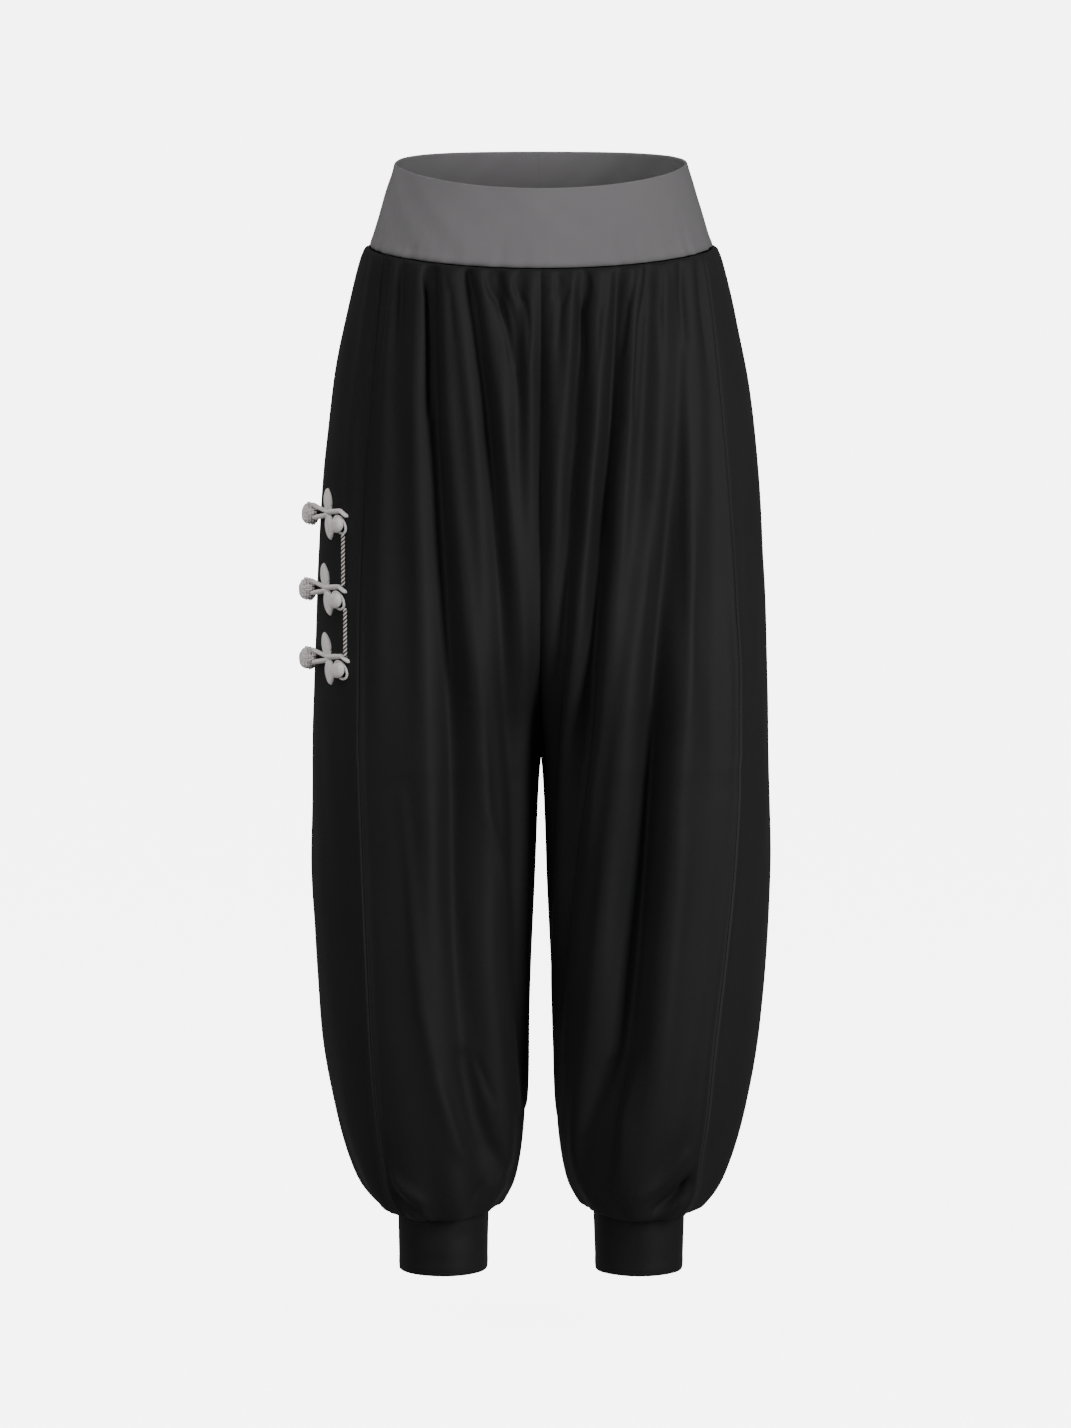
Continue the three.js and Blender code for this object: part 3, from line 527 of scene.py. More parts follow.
def shell(outer, inner):
    """Points and faces of a closed shell between two grids of the same shape."""
    rows, columns = outer.shape[:2]
    count = rows * columns
    back = grid_faces(rows, columns, count)[:, ::-1]
    ids = np.arange(count).reshape(rows, columns)
    rim = np.concatenate([ids[0], ids[1:, -1], ids[-1, -2::-1], ids[-2:0:-1, 0]])
    after = np.roll(rim, -1)
    edge = np.stack([rim, rim + count, after + count, after], 1)
    points = np.concatenate([outer.reshape(-1, 3), inner.reshape(-1, 3)])
    return points, np.concatenate([grid_faces(rows, columns), back, edge])


# %% [markdown]
# ## Shader maths as sums
#
# A finish is worked out from patterns: a knit, a twist, a cloud of lint. In Blender each step is a node.
# The class below wraps the output of a node, so that `0.5 + 0.3 * knit` adds the Math nodes by itself and
# the finish reads like the sum that it is.

# %% Shader helpers
class Pattern:
    """A number that varies over a surface."""

    def __init__(self, finish, socket):
        self.finish = finish
        self.socket = socket

    def math(self, operation, *values):
        return self.finish.node("ShaderNodeMath", {"operation": operation}, dict(enumerate(values)))

    def __add__(self, other):
        return self.math("ADD", self, other)

    def __radd__(self, other):
        return self.math("ADD", other, self)

    def __sub__(self, other):
        return self.math("SUBTRACT", self, other)

    def __rsub__(self, other):
        return self.math("SUBTRACT", other, self)

    def __mul__(self, other):
        return self.math("MULTIPLY", self, other)

    def __rmul__(self, other):
        return self.math("MULTIPLY", other, self)

    def __truediv__(self, other):
        return self.math("DIVIDE", self, other)

    def __pow__(self, other):
        return self.math("POWER", self, other)

    def __abs__(self):
        return self.math("ABSOLUTE", self)

    def sine(self):
        return self.math("SINE", self)

    def part(self):
        """What is left after the last whole number."""
        return self.math("FRACT", self)


class Finish:
    """One material and its nodes."""

    def __init__(self, name):
        self.material = bpy.data.materials.new(name)
        self.material.use_nodes = True
        self.tree = self.material.node_tree
        self.tree.nodes.clear()

    def node(self, kind, settings=None, sockets=None, output=0):
        """Adds a node: its settings first, then the values or links of its sockets."""
        made = self.tree.nodes.new(kind)
        for key, value in (settings or {}).items():
            setattr(made, key, value)
        for key, value in (sockets or {}).items():
            if isinstance(value, Pattern):
                self.tree.links.new(value.socket, made.inputs[key])
            else:
                made.inputs[key].default_value = value
        return Pattern(self, made.outputs[output])

    def blend(self, share, first, second):
        """A colour between two colours."""
        sockets = {0: share, 6: first, 7: second}
        return self.node("ShaderNodeMix", {"data_type": "RGBA"}, sockets, output=2)

    def noise(self, place, scale, detail=2.0):
        sockets = {"Vector": place, "Scale": scale, "Detail": detail, "Roughness": 0.55}
        return self.node("ShaderNodeTexNoise", None, sockets)

    def fade(self, value, low, high):
        """0 at low, 1 at high and soft between them. low may be the larger."""
        sockets = {"Value": value, "From Min": low, "From Max": high, "To Min": 0.0, "To Max": 1.0}
        return self.node("ShaderNodeMapRange", {"interpolation_type": "SMOOTHSTEP"}, sockets)

    def bump(self, height, distance, strength=1.0):
        sockets = {"Height": height, "Distance": distance, "Strength": strength}
        return self.node("ShaderNodeBump", None, sockets)

    def flat_place(self):
        """The place on the flat cloth, in metres: the whole vector, how far across, and how far down."""
        place = self.node("ShaderNodeUVMap", {"uv_map": "cloth"})
        split = self.node("ShaderNodeSeparateXYZ", None, {0: place}).socket.node
        return place, Pattern(self, split.outputs[0]), Pattern(self, split.outputs[1])

    def object_place(self):
        return self.node("ShaderNodeTexCoord", output=3)

    def surface(self, **sockets):
        """The Principled shader, and the end of the material."""
        named = {key.replace("_", " "): value for key, value in sockets.items()}
        shader = self.node("ShaderNodeBsdfPrincipled", None, named)
        end = self.tree.nodes.new("ShaderNodeOutputMaterial")
        self.tree.links.new(shader.socket, end.inputs["Surface"])
        return self.material


# %% [markdown]
# ## Black jersey, grey jersey and plain cuffs
#
# Jersey is knitted in fine columns of small V shapes. At arm's length they only break up the light, so they
# go in a Bump node and not in the mesh. Real black cloth isn't evenly black: lint and wear make it a little
# lighter in clouds. From the thigh down, a pale line along each raised side seam is a painted highlight,
# where the seam catches the light. A low sheen stands for the fuzz that catches light where the cloth turns
# away.

# %% Jersey finish
BLACK = (0.008, 0.008, 0.0085, 1)
BLACK_WORN = (0.0115, 0.0115, 0.0119, 1)
# The colour of the painted highlight along the side seams.
SEAM_HIGHLIGHT = (0.024, 0.024, 0.025, 1)
GREY = (0.15, 0.145, 0.149, 1)
GREY_WORN = (0.173, 0.168, 0.172, 1)
LINT_SCALE, LINT_DETAIL = 9.0, 4.0
FUZZ_SCALE = 1400.0
KNIT_BUMP = 0.00018  # metres
# Where the painted seam highlight lies: its width across the side seam, and where it starts down the leg.
SEAM_HIGHLIGHT_FROM, SEAM_HIGHLIGHT_TO = 0.0032, 0.0008  # metres from the side seam
SEAM_HIGHLIGHT_STARTS, SEAM_HIGHLIGHT_FULL = 0.3, 0.5  # metres down the leg


def jersey(name, colour, worn, wale, roughness, specular, painted_seam_highlight=False):
    """Knitted cloth. A wale is one column of stitches, and its width is in metres."""
    finish = Finish(name)
    place, across, down = finish.flat_place()
    column = abs((across / wale).part() - 0.5)
    stitch = 0.5 + 0.5 * ((down / (0.8 * wale) + 1.1 * column) * TURN).sine()
    knit = stitch * (1 - 2 * column) ** 0.5
    lint = finish.noise(finish.object_place(), LINT_SCALE, LINT_DETAIL)
    fuzz = finish.noise(place, FUZZ_SCALE)
    cloud = (lint - 0.35) * 1.6 + (fuzz - 0.5) * 0.5
    height = knit * 0.7 + fuzz * 0.5
    tone = finish.blend(cloud, colour, worn)
    # From the thigh down, a pale line along the side seam is painted highlight, where the raised seam catches
    # the light.
    if painted_seam_highlight:
        seam_highlight = finish.fade(across, SEAM_HIGHLIGHT_FROM, SEAM_HIGHLIGHT_TO) * finish.fade(down, SEAM_HIGHLIGHT_STARTS, SEAM_HIGHLIGHT_FULL)
        tone = finish.blend(seam_highlight, tone, SEAM_HIGHLIGHT)
    return finish.surface(
        Base_Color=tone,
        Roughness=roughness + 0.08 * fuzz,
        Normal=finish.bump(height, KNIT_BUMP, 0.6),
        Sheen_Weight=0.01,
        Sheen_Roughness=0.45,
        Specular_IOR_Level=specular,
    )


black_jersey = jersey(
    "black_jersey", BLACK, BLACK_WORN, wale=0.0009, roughness=0.63, specular=0.27, painted_seam_highlight=True
)
grey_jersey = jersey("grey_stretch_jersey", GREY, GREY_WORN, wale=0.0007, roughness=0.7, specular=0.12)
cuff_jersey = jersey("black_cuff_jersey", BLACK, BLACK_WORN, wale=0.0008, roughness=0.54, specular=0.2)
print("jersey finishes:", black_jersey.name, grey_jersey.name, cuff_jersey.name)

# %% [markdown]
# ## The four leg panels
#
# Each panel is the form, its long folds, and then everything small, pushed out along the cloth's own
# normals. On the right hip, where the frog fastenings lie, the small unevenness is calmed so that the trims
# lie flat.

# %% Panels
CLOTH_WALL = 1.5  # mm
UNEVEN = 0.38  # mm
WAIST_PUCKER, WAIST_FADE = 0.32, 22  # how high and how far from the band, in mm
CUFF_PUCKER, CUFF_FADE = 0.75, 24
BEHIND = 1e4  # mm across, where no stroke reaches
CENTRE_EASE = 25  # mm of cloth that are eased on to the centre line
HIP_ACROSS, HIP_TOP, HIP_FOOT = 120, 175, 445  # the frogs' place on the back panel, in mm
PANEL_SEEDS = {FRONT_RIGHT: 11, FRONT_LEFT: 12, BACK_RIGHT: 13, BACK_LEFT: 14}
PANEL_LENGTH = {1: 330, -1: 400}  # mm across, to place the fine columns


def calm_hip(arc):
    """1 on open cloth and 0 where the frog fastenings lie."""
    down = DOWN[:, None]
    reach = smooth((HIP_ACROSS - arc) / 30) * smooth((down - HIP_TOP) / 40) * smooth((HIP_FOOT - down) / 30)
    return 1 - reach


def small_relief(panel, points, arc):
    """How far the seams, puckers, strokes and unevenness push a panel's cloth out."""
    seed = PANEL_SEEDS[panel]
    width = arc[:, -1:]
    down = DOWN[:, None]
    from_seams = np.minimum(arc, width - arc)
    quiet = smooth((from_seams - 2) / 14)
    push = UNEVEN * unevenness(arc, down, seed) * smooth((down - 6) / 50)
    push = push + WAIST_PUCKER * waves(arc, 9, 22, seed + 20) * np.exp(-down / WAIST_FADE)
    left = DOWN[-1] - down
    push = push + CUFF_PUCKER * waves(arc, 8, 19, seed + 40) * np.exp(-left / CUFF_FADE) * smooth(left / 4)
    across = points[..., 0]
    if panel in (BACK_RIGHT, BACK_LEFT):
        behind = np.arange(arc.shape[1]) >= np.argmax(across, axis=1)[:, None]
        across = np.where(behind, across, BEHIND + arc)
    for owner, height, half_width, line in STROKES:
        if owner == panel:
            placed = place_on_cloth(line, arc, across, points[..., 2].mean(1))
            push = push + stroke_push(arc, placed, height, half_width)
    if panel == BACK_RIGHT:
        push = push * calm_hip(arc)
    side_shows = 0.3 + 0.7 * smooth((down - 230) / 160)  # the fuller hip pulls the side seam flat
    seams = seam_push(arc, "side") * side_shows + seam_push(width - arc, "centre")
    sewn_flat = 0.1 + 0.9 * smooth(down / 10)  # the top edge lies flat against the band
    return push * quiet * sewn_flat + seams + seam_push(down, "end") + seam_push(left, "end")


def meet_at_centre(points, arc):
    """Above the crotch, eases the end of a panel on to the centre line, where the other leg's panel ends."""
    seat = section_at(LEVELS)["inner"] <= 0
    share = smooth(1 - (arc[:, -1:] - arc) / CENTRE_EASE) * seat[:, None]
    points[..., 0] = np.maximum(points[..., 0] - points[:, -1:, 0] * share, 0)


def panel_points(panel):
    """The outer grid in mm, for a leg on the left, and how far round the cloth each point lies."""
    leg, face = panel
    share = panel_shares(PANEL_LENGTH[face])[None, :]
    level = LEVELS[:, None]
    angle = panel_angle(section_at(level), panel, share)
    points = cloth_face(leg, level + 0 * share, angle)
    steps = np.linalg.norm(np.diff(points, axis=1), axis=-1)
    arc = np.concatenate([np.zeros((len(LEVELS), 1)), np.cumsum(steps, axis=1)], axis=1)
    meet_at_centre(points, arc)
    normals = face * face_normals(points)
    points = points + normals * small_relief(panel, points, arc)[..., None]
    meet_at_centre(points, arc)
    return points, arc


def sew_panel(node, panel):
    leg, face = panel
    points, arc = panel_points(panel)
    inner = points - CLOTH_WALL * face * face_normals(points)
    meet_at_centre(inner, arc)
    mirror = np.array([leg, 1, 1])
    mesh_points, faces = shell(points * mirror, inner * mirror)
    flat = np.stack([arc, np.broadcast_to(DOWN[:, None], arc.shape)], -1).reshape(-1, 2)
    shape = mesh_points, faces, np.concatenate([flat, flat])
    piece = sew(node + "_cloth", node, shape, black_jersey)
    cut = round(arc[:, -1].max() * MM, 3), round(DOWN[-1] * MM, 3)


# %% [markdown]
# ## A strip bent into a ring
#
# The waistband and the cuffs are strips folded double, with the fold at the rim or the hem. One section of
# such a strip is a long loop: up the outer face, over the fold and down the inner face. Sweeping it round
# the body and joining the last section to the first makes a closed ring with a rounded fold, which a plain
# extruded band wouldn't have.

# %% Folded rings
FOLD_STEPS, HEM_STEPS = 8, 3
FOLD_BULGE, HEM_BULGE = 0.9, 0.25  # how round the fold and the sewn edge are; 1 is half a circle
CROWDED = 0.35  # how much the rows crowd together near both edges; 0 is evenly spaced


def folded_ring(outer_at, wall, steps, segments, fold_up, relief_at):
    """Points (section by section) of a folded ring, its faces and its flat places. outer_at(t, angle) is the
    outer face from the sewn edge, t 0, to the fold, t 1, and relief_at(t, angle, arc) pushes it out."""
    angle = np.linspace(0, TURN, segments, endpoint=False)[:, None]
    even = np.linspace(0, 1, steps)[None, :]
    t = smooth(even) * CROWDED + even * (1 - CROWDED)
    outer = outer_at(t, angle)
    ahead = outer_at(t, angle + 0.01) - outer_at(t, angle - 0.01)
    ahead[..., 2] = 0
    out = unit(np.stack([ahead[..., 1], -ahead[..., 0], 0 * ahead[..., 0]], -1))
    outward = np.sign((out * (outer - outer.mean((0, 1)))).sum())
    out *= outward
    step = np.linalg.norm(np.roll(outer, -1, 0) - outer, axis=-1)
    arc = np.concatenate([np.zeros((1, steps)), np.cumsum(step, 0)[:-1]])
    push = relief_at(t, angle, arc)[..., None]
    outer = outer + out * push
    turn = np.linspace(0, math.pi, FOLD_STEPS + 2)[None, 1:-1, None]
    middle = outer[:, -1:] - out[:, -1:] * wall / 2
    up = np.array([0, 0, float(fold_up)])
    rim = middle + wall / 2 * (out[:, -1:] * np.cos(turn) + up * np.sin(turn) * FOLD_BULGE)
    inner = (outer - out * wall)[:, ::-1]
    hem_middle = outer[:, :1] - out[:, :1] * wall / 2
    turn = np.linspace(math.pi, TURN, HEM_STEPS + 2)[None, 1:-1, None]
    hem = hem_middle + wall / 2 * (out[:, :1] * np.cos(turn) + up * np.sin(turn) * HEM_BULGE)
    points = np.concatenate([outer, rim, inner, hem], axis=1)
    count = points.shape[1]
    ids = np.arange(segments * count).reshape(segments, count)
    after, beside = np.roll(ids, -1, 0), np.roll(ids, -1, 1)
    faces = np.stack([ids, beside, np.roll(after, -1, 1), after], -1).reshape(-1, 4)
    up_cloth = np.linalg.norm(np.diff(points, axis=1), axis=-1)
    rise = np.concatenate([np.zeros((segments, 1)), np.cumsum(up_cloth, 1)], axis=1)
    round_it = np.broadcast_to(arc[:, :1], rise.shape)
    return points, faces, np.stack([round_it, rise], -1)


# %% [markdown]
# ## The waistband
#
# A strip of grey stretch jersey, folded double at the rim and sewn into a ring at the centre back. It is
# held open, so it is smooth, with a slight waviness where the gathers pull on its lower edge. The rim is a
# soft fold, a little uneven. The seam shows as a fine line inside the back.

# %% Waistband
BAND = table(
    "z width front back tilt sag",
    (-37.2, 152.7, 103.7, 109.7, 11, 5),
    (0, 141.4, 97, 102.5, 11.8, 4.8),
    (35.5, 130.4, 92, 96.5, 14.4, 6.2),
)
BAND_MIDDLE = 2
BAND_WALL = 2.5
BAND_ROUND, BAND_RADIUS = 760, 105  # mm round the band, and from its axis to the centre back
BAND_CUT = (0.76, 0.074)  # metres of cloth that show
CENTRE_BACK = math.pi / 2


def band_outer(t, angle):
    s = {name: curve(t, (0, 0.5, 1), column) for name, column in BAND.items()}
    lean = -np.sin(angle)
    depth = np.where(lean > 0, s["front"], s["back"])
    x = s["width"] * np.cos(angle)
    y = BAND_MIDDLE - depth * lean
    return np.stack([x, y, s["z"] - s["tilt"] * lean - s["sag"] * lean * lean], -1)


def band_relief(t, angle, arc):
    ring = arc / arc[-1:, :] * BAND_ROUND
    pulled = 0.55 * waves(ring, 10, 26, 61, 9) * np.exp(-t / 0.16)
    soft = 0.35 * waves(ring, 60, 150, 62) * (0.4 + 0.6 * t) + 0.22 * waves(ring + 90 * t, 30, 70, 63)
    tuck = -1.0 * np.exp(-t / 0.018)
    seam = seam_push(abs(turn_from(CENTRE_BACK, angle)) * BAND_RADIUS, "ring")
    return pulled + soft + tuck + seam + 0.35 * bell((t - 0.05) / 0.04)


def sew_ring(node, ring, material, cut):
    piece = sew(node + "_cloth", node, ring, material)
    print(piece.name, "triangles:", 2 * len(ring[1]), "shows", cut, "m of cloth")


band_ring = folded_ring(
    band_outer, BAND_WALL, steps=34, segments=420, fold_up=1, relief_at=band_relief
)
sew_ring("waistband", band_ring, grey_jersey, BAND_CUT)

# %% [markdown]
# ## Sewing the panels in
#
# The band is there first, because the gathered tops of the panels rest on it. The panels could be one mesh
# with the seams drawn on, but each is cut and sewn on its own on the real pair, so each is a piece of its
# own here.

# %% Sew the panels
for panel_node, panel in (
    ("front_right", FRONT_RIGHT),
    ("front_left", FRONT_LEFT),
    ("back_right", BACK_RIGHT),
    ("back_left", BACK_LEFT),
):
    sew_panel(panel_node, panel)

# %% [markdown]
# ## The cuffs
#
# Two plain strips of black jersey, folded double at the hem and sewn at the inner leg. Nothing stretches
# them here, so they show soft shallow dents, and the puff of the leg hangs over their upper edge.

# %% Cuffs
CUFF = table("z width depth", (-890.3, 41.8, 46.5), (-925, 41.1, 46.2), (-963, 40, 45))
CUFF_ACROSS = 88.8
CUFF_MIDDLE = 8
CUFF_WALL = 2.2
CUFF_RADIUS = 43
CUFF_CUT = (0.275, 0.073)  # metres of cloth that show
CUFF_DENTS = [
    # leg, degrees round (0 outside, 90 at the back), height t, depth in mm, reach in degrees, reach in t
    (1, -50, 0.45, -1.1, 16, 0.14),
    (1, -130, 0.6, -0.8, 20, 0.12),
    (1, -90, 0.2, 0.6, 30, 0.1),
    (1, 60, 0.5, -0.9, 22, 0.16),
    (-1, -40, 0.35, -0.8, 18, 0.12),
    (-1, -115, 0.55, -1.0, 18, 0.14),
    (-1, -75, 0.7, 0.5, 26, 0.1),
    (-1, 110, 0.4, -0.9, 24, 0.15),
]


def cuff_ring(leg):
    inner_leg = math.pi if leg > 0 else 0

    def outer(t, angle):
        s = {name: curve(t, (0, 0.5, 1), column) for name, column in CUFF.items()}
        x = leg * CUFF_ACROSS + s["width"] * np.cos(angle)
        return np.stack([x, CUFF_MIDDLE + s["depth"] * np.sin(angle), s["z"] + 0 * angle], -1)

    def relief_at(t, angle, arc):
        push = 0.35 * waves(arc + 25 * t, 35, 80, 70 + leg)
        push = push + 0.5 * waves(arc, 9, 20, 80 + leg) * np.exp(-t / 0.12)
        for owner, degrees, height, depth, reach, up in CUFF_DENTS:
            if owner == leg:
                where = math.radians(degrees) if leg > 0 else math.pi - math.radians(degrees)
                turn = turn_from(where, angle)
                push = push + depth * bell(turn / math.radians(reach)) * bell((t - height) / up)
        seam = seam_push(abs(turn_from(inner_leg, angle)) * CUFF_RADIUS, "ring")
        return push + seam - 0.9 * np.exp(-t / 0.02) + 0.3 * bell((t - 0.93) / 0.05)

    return folded_ring(outer, CUFF_WALL, steps=30, segments=200, fold_up=-1, relief_at=relief_at)


for cuff_node, leg in (("cuff_right", -1), ("cuff_left", 1)):
    sew_ring(cuff_node, cuff_ring(leg), cuff_jersey, CUFF_CUT)

# %% [markdown]
# ## Satin thread and twisted cord
#
# The frog fastenings are padded shapes wrapped in satin thread, laid side by side. Thread is smoother than
# jersey, and the finish carries its fine lines, which a picture of real thread would only repeat; the lines
# between the threads are darkened with painted shade. Light hardly gets between the petals of a rosette, to
# its foot by the cloth, or between the plies of the cord, so these places get painted shade in dark brown.
# Their flat places say how deep a point is: a rosette's how far up it lies, less where a groove cuts in, and
# a cord's how far it lies from the cord's axis.

# %% Thread finishes
PALE = (0.85, 0.81, 0.79, 1)
# The colour of the painted shade between the threads.
PAINTED_THREAD_SHADE = (0.34, 0.31, 0.3, 1)
CORD_PALE = (0.8, 0.765, 0.75, 1)
# The colour of painted shade in deep places: grooves, the rosette's foot and between the cord's plies.
PAINTED_SHADE_BROWN = (0.06, 0.042, 0.038, 1)
FRAY_SCALE = 900.0
THREAD_BUMP = 0.00018  # metres


def thread(name, colour, pitch, deep=None):
    """Threads side by side, pitch metres apart, with painted shade in the lines between them. Given two
    depths in mm, painted shade in dark brown at the first fades to pale thread at the second.
    """
    finish = Finish(name)
    place, across, down = finish.flat_place()
    lines = 0.5 + 0.5 * (down * (TURN / pitch) + TURN / 4).sine()
    fray = finish.noise(place, FRAY_SCALE)
    # Darker between the threads: painted shade, mixed with the fray's random tone.
    tone = finish.blend(0.6 * lines + 0.8 * fray - 0.1, PAINTED_THREAD_SHADE, colour)
    if deep:
        # Painted shade: dark brown where a point lies deep, pale thread where it lies open.
        tone = finish.blend(finish.fade(across, deep[0] * MM, deep[1] * MM), PAINTED_SHADE_BROWN, tone)
    return finish.surface(
        Base_Color=tone,
        Roughness=0.42 + 0.15 * fray,
        Normal=finish.bump(lines + 0.4 * fray, THREAD_BUMP, 0.7),
        Sheen_Weight=0.1,
        Specular_IOR_Level=0.45,
    )


satin = thread("pale_satin_thread", PALE, 0.0015)
petal_satin = thread("rosette_satin_thread", PALE, 0.0014, deep=(1.5, 6.5))
cord_thread = thread("twisted_cord_thread", CORD_PALE, 0.0013, deep=(1.15, 1.72))
print("thread finishes:", satin.name, petal_satin.name, cord_thread.name)

# %% [markdown]
# ## A flat plan laid on the hip
#
# A frog is easiest to draw flat: p runs along the cloth towards the front, q upwards and h out of the
# cloth, all from the middle of the frog. These helpers find the level and the angle of such a place on the
# right hip, step round the curved cloth as far as p says, and lift the point by h along the cloth's normal.

# %% Laying on the hip
LIFT = 0.25  # mm between the cloth and the underside of a trim
WALK_STEPS = 12
ANGLE_STEP, LEVEL_STEP = 0.02, 0.04  # to find the cloth's slopes
FROGS = {
    # name: across, z, and how far the tips of the upper and the lower leaf lean towards the front
    "top": (188.3, -274, -3, 3.5),
    "middle": (190, -341, -8, 6),
    "bottom": (188, -402, -10, 3),
}
HIP_LEVELS = np.linspace(0, CROTCH_LEVEL, 2000)
HIP_HEIGHTS = section_at(HIP_LEVELS)["z"]
print("frogs:", len(FROGS), "on the hip from", round(HIP_HEIGHTS[0]), "to", round(HIP_HEIGHTS[-1]), "mm")


def hip_place(across, z, p, q):
    """Level and angle of a flat place on the right hip, found by walking round the cloth."""
    level = np.interp(-(z + q), -HIP_HEIGHTS, HIP_LEVELS)
    s = section_at(level)
    angle = np.arccos(np.clip((across - s["centre"]) / s["radius"], -1, 1))
    for _ in range(WALK_STEPS):
        angle = angle + p / WALK_STEPS / speed_at(s, angle)
    return level, angle


def hip_point(level, angle, h):
    ahead = cloth_face(-1, level, angle + ANGLE_STEP) - cloth_face(-1, level, angle - ANGLE_STEP)
    down = cloth_face(-1, level + LEVEL_STEP, angle) - cloth_face(-1, level - LEVEL_STEP, angle)
    normal = unit(np.cross(ahead, down))
    points = cloth_face(-1, level, angle) + normal * np.asarray(h)[..., None]
    return points * np.array([-1, 1, 1])


def lay_on_hip(flat, across, z):
    """Flat points (p, q, h) laid on the right hip."""
    level, angle = hip_place(across, z, flat[..., 0], flat[..., 1])
    return hip_point(level, angle, LIFT + flat[..., 2])


def stand_on_hip(solid, across, z, p, q):
    """A rigid shape whose own third axis points straight out of the hip."""
    level, angle = hip_place(across, z, np.array(p, float), np.array(q, float))
    foot = hip_point(level, angle, LIFT)
    out = Vector(hip_point(level, angle, LIFT + 1) - foot)
    turned = np.array(Vector((0, 0, 1)).rotation_difference(out).to_matrix())
    return solid @ turned.T + foot


# %% [markdown]
# ## Padded leaves and strips
#
# A leaf is a padded mound with a groove along its middle, and satin stitches slant away from that groove on
# both sides. The stitches are ridges 1.5 mm apart in the mesh, because they show as teeth along the leaf's
# edge, which a Bump node can't do. The arm and the prongs are narrower mounds without a groove.

# %% Mounds
STITCH = 1.5  # mm from one ridge to the next
STITCH_TOOTH, STITCH_RISE = 0.05, 0.2  # a share of the half width, and mm
LEAF_SLANT, STRIP_SLANT = 0.55, 0.3
GROOVE_DEPTH, GROOVE_WIDTH = 0.32, 0.16  # shares of a leaf's height and half width
LEAF_WIDTH, LEAF_HEIGHT = 14, 3.8
LEAF_UP, LEAF_DOWN = 22, 23.5


def leaf_shape(t):
    return 0.12 + 0.88 * np.sin(math.pi * t**0.9) ** 0.8


def strip_shape(t):
    return 1 - 0.35 * (2 * t - 1) ** 4


def cap(ring):
    """Faces that close an opening with an even number of points."""
    k = np.arange(len(ring) // 2 - 1)
    return np.stack([ring[k], ring[k + 1], ring[-2 - k], ring[-1 - k]], 1)


def mound(start, end, width, height, shape, midrib, rows=72, columns=21, lift=0):
    """A padded shape in p, q and h with a rounded top and a flat underside: points, faces and flat places.
    Its far end is raised off the cloth by lift."""
    start, end = np.array(start, float), np.array(end, float)
    length = np.linalg.norm(end - start)
    along = (end - start) / length
    side = np.array([-along[1], along[0]])
    t = np.linspace(0, 1, rows)[:, None]
    turn = np.linspace(0, math.pi, columns)[None, :]
    u = np.cos(turn)
    share = shape(np.clip(t, 1e-3, 1 - 1e-3))
    close = np.sqrt(np.clip(1 - np.abs(2 * t - 1) ** 12, 0.03, 1))
    slant = LEAF_SLANT if midrib else STRIP_SLANT
    stitch_line = t * length - slant * width * share * (np.abs(u) if midrib else u)
    stitch = np.cos(TURN * stitch_line / STITCH)
    half = width * share * close / 2 * (1 + STITCH_TOOTH * stitch)
    rise = height * np.sqrt(share) * close * np.sin(turn) ** 0.85
    if midrib:
        groove = GROOVE_DEPTH * bell(u / GROOVE_WIDTH) * smooth(t * 8) * smooth((1 - t) * 6)
        rise = rise * (1 - groove)
    rise = rise + STITCH_RISE * stitch * np.sin(turn) * close
    middle = start + along * t[..., None] * length
    top = np.concatenate([middle + side * (half * u)[..., None], rise[..., None]], -1)
    under = top[:, 1:-1][:, ::-1] * np.array([1, 1, 0]) + np.array([0, 0, -0.2])
    loops = np.concatenate([top, under], axis=1)
    loops[..., 2] += lift * smooth(t)
    count = loops.shape[1]
    ids = np.arange(rows * count).reshape(rows, count)
    beside = np.roll(ids, -1, 1)
    walls = np.stack([ids[:-1], beside[:-1], beside[1:], ids[1:]], -1).reshape(-1, 4)
    faces = np.concatenate([walls, cap(ids[0][::-1]), cap(ids[-1])])
    around = np.arange(count) * width / count
    lines = np.concatenate([stitch_line, stitch_line[:, 1:-1][:, ::-1]], axis=1)
    flat = np.stack(np.broadcast_arrays(around[None, :], lines), -1)
    return loops.reshape(-1, 3), faces, flat.reshape(-1, 2)


def merge(parts):
    """Several closed shapes as one mesh."""
    points, faces, flat, start = [], [], [], 0
    for part in parts:
        points.append(part[0])
        faces.append(part[1] + start)
        flat.append(part[2])
        start += len(part[0])
    return np.concatenate(points), np.concatenate(faces), np.concatenate(flat)


def sprig_parts(lean_up, lean_down):
    """Two leaves, the arm and its bent tip, and two prongs that rise to hold the rosette."""
    leaf = dict(width=LEAF_WIDTH, height=LEAF_HEIGHT, shape=leaf_shape, midrib=True)
    strip = dict(shape=strip_shape, midrib=False)
    return [
        mound((0, 0.4), (lean_up, LEAF_UP), **leaf),
        mound((0, -0.4), (lean_down, -LEAF_DOWN), **leaf),
        mound((-5, 0.5), (22, 3.2), width=4.6, height=3.6, **strip),
        mound((19.5, 3), (29.5, -1.6), width=3.6, height=3.6, rows=30, **strip),
        mound((1, 0), (-21, 6.5), width=3.8, height=3.2, lift=7, **strip),
        mound((1, -1), (-20.5, -6), width=4.2, height=3.2, lift=6, **strip),
    ]


def sew_trim(node, ending, shape, material):
    piece = sew(f"{node}_{ending}", node, shape, material)


for frog, (across, z, lean_up, lean_down) in FROGS.items():
    flat_points, faces, flat = merge(sprig_parts(lean_up, lean_down))
    laid = lay_on_hip(flat_points, across, z)
    sew_trim(f"sprig_{frog}", "satin", (laid, faces, flat), satin)
print("sprigs:", len(FROGS), "triangles each:", 2 * len(faces))

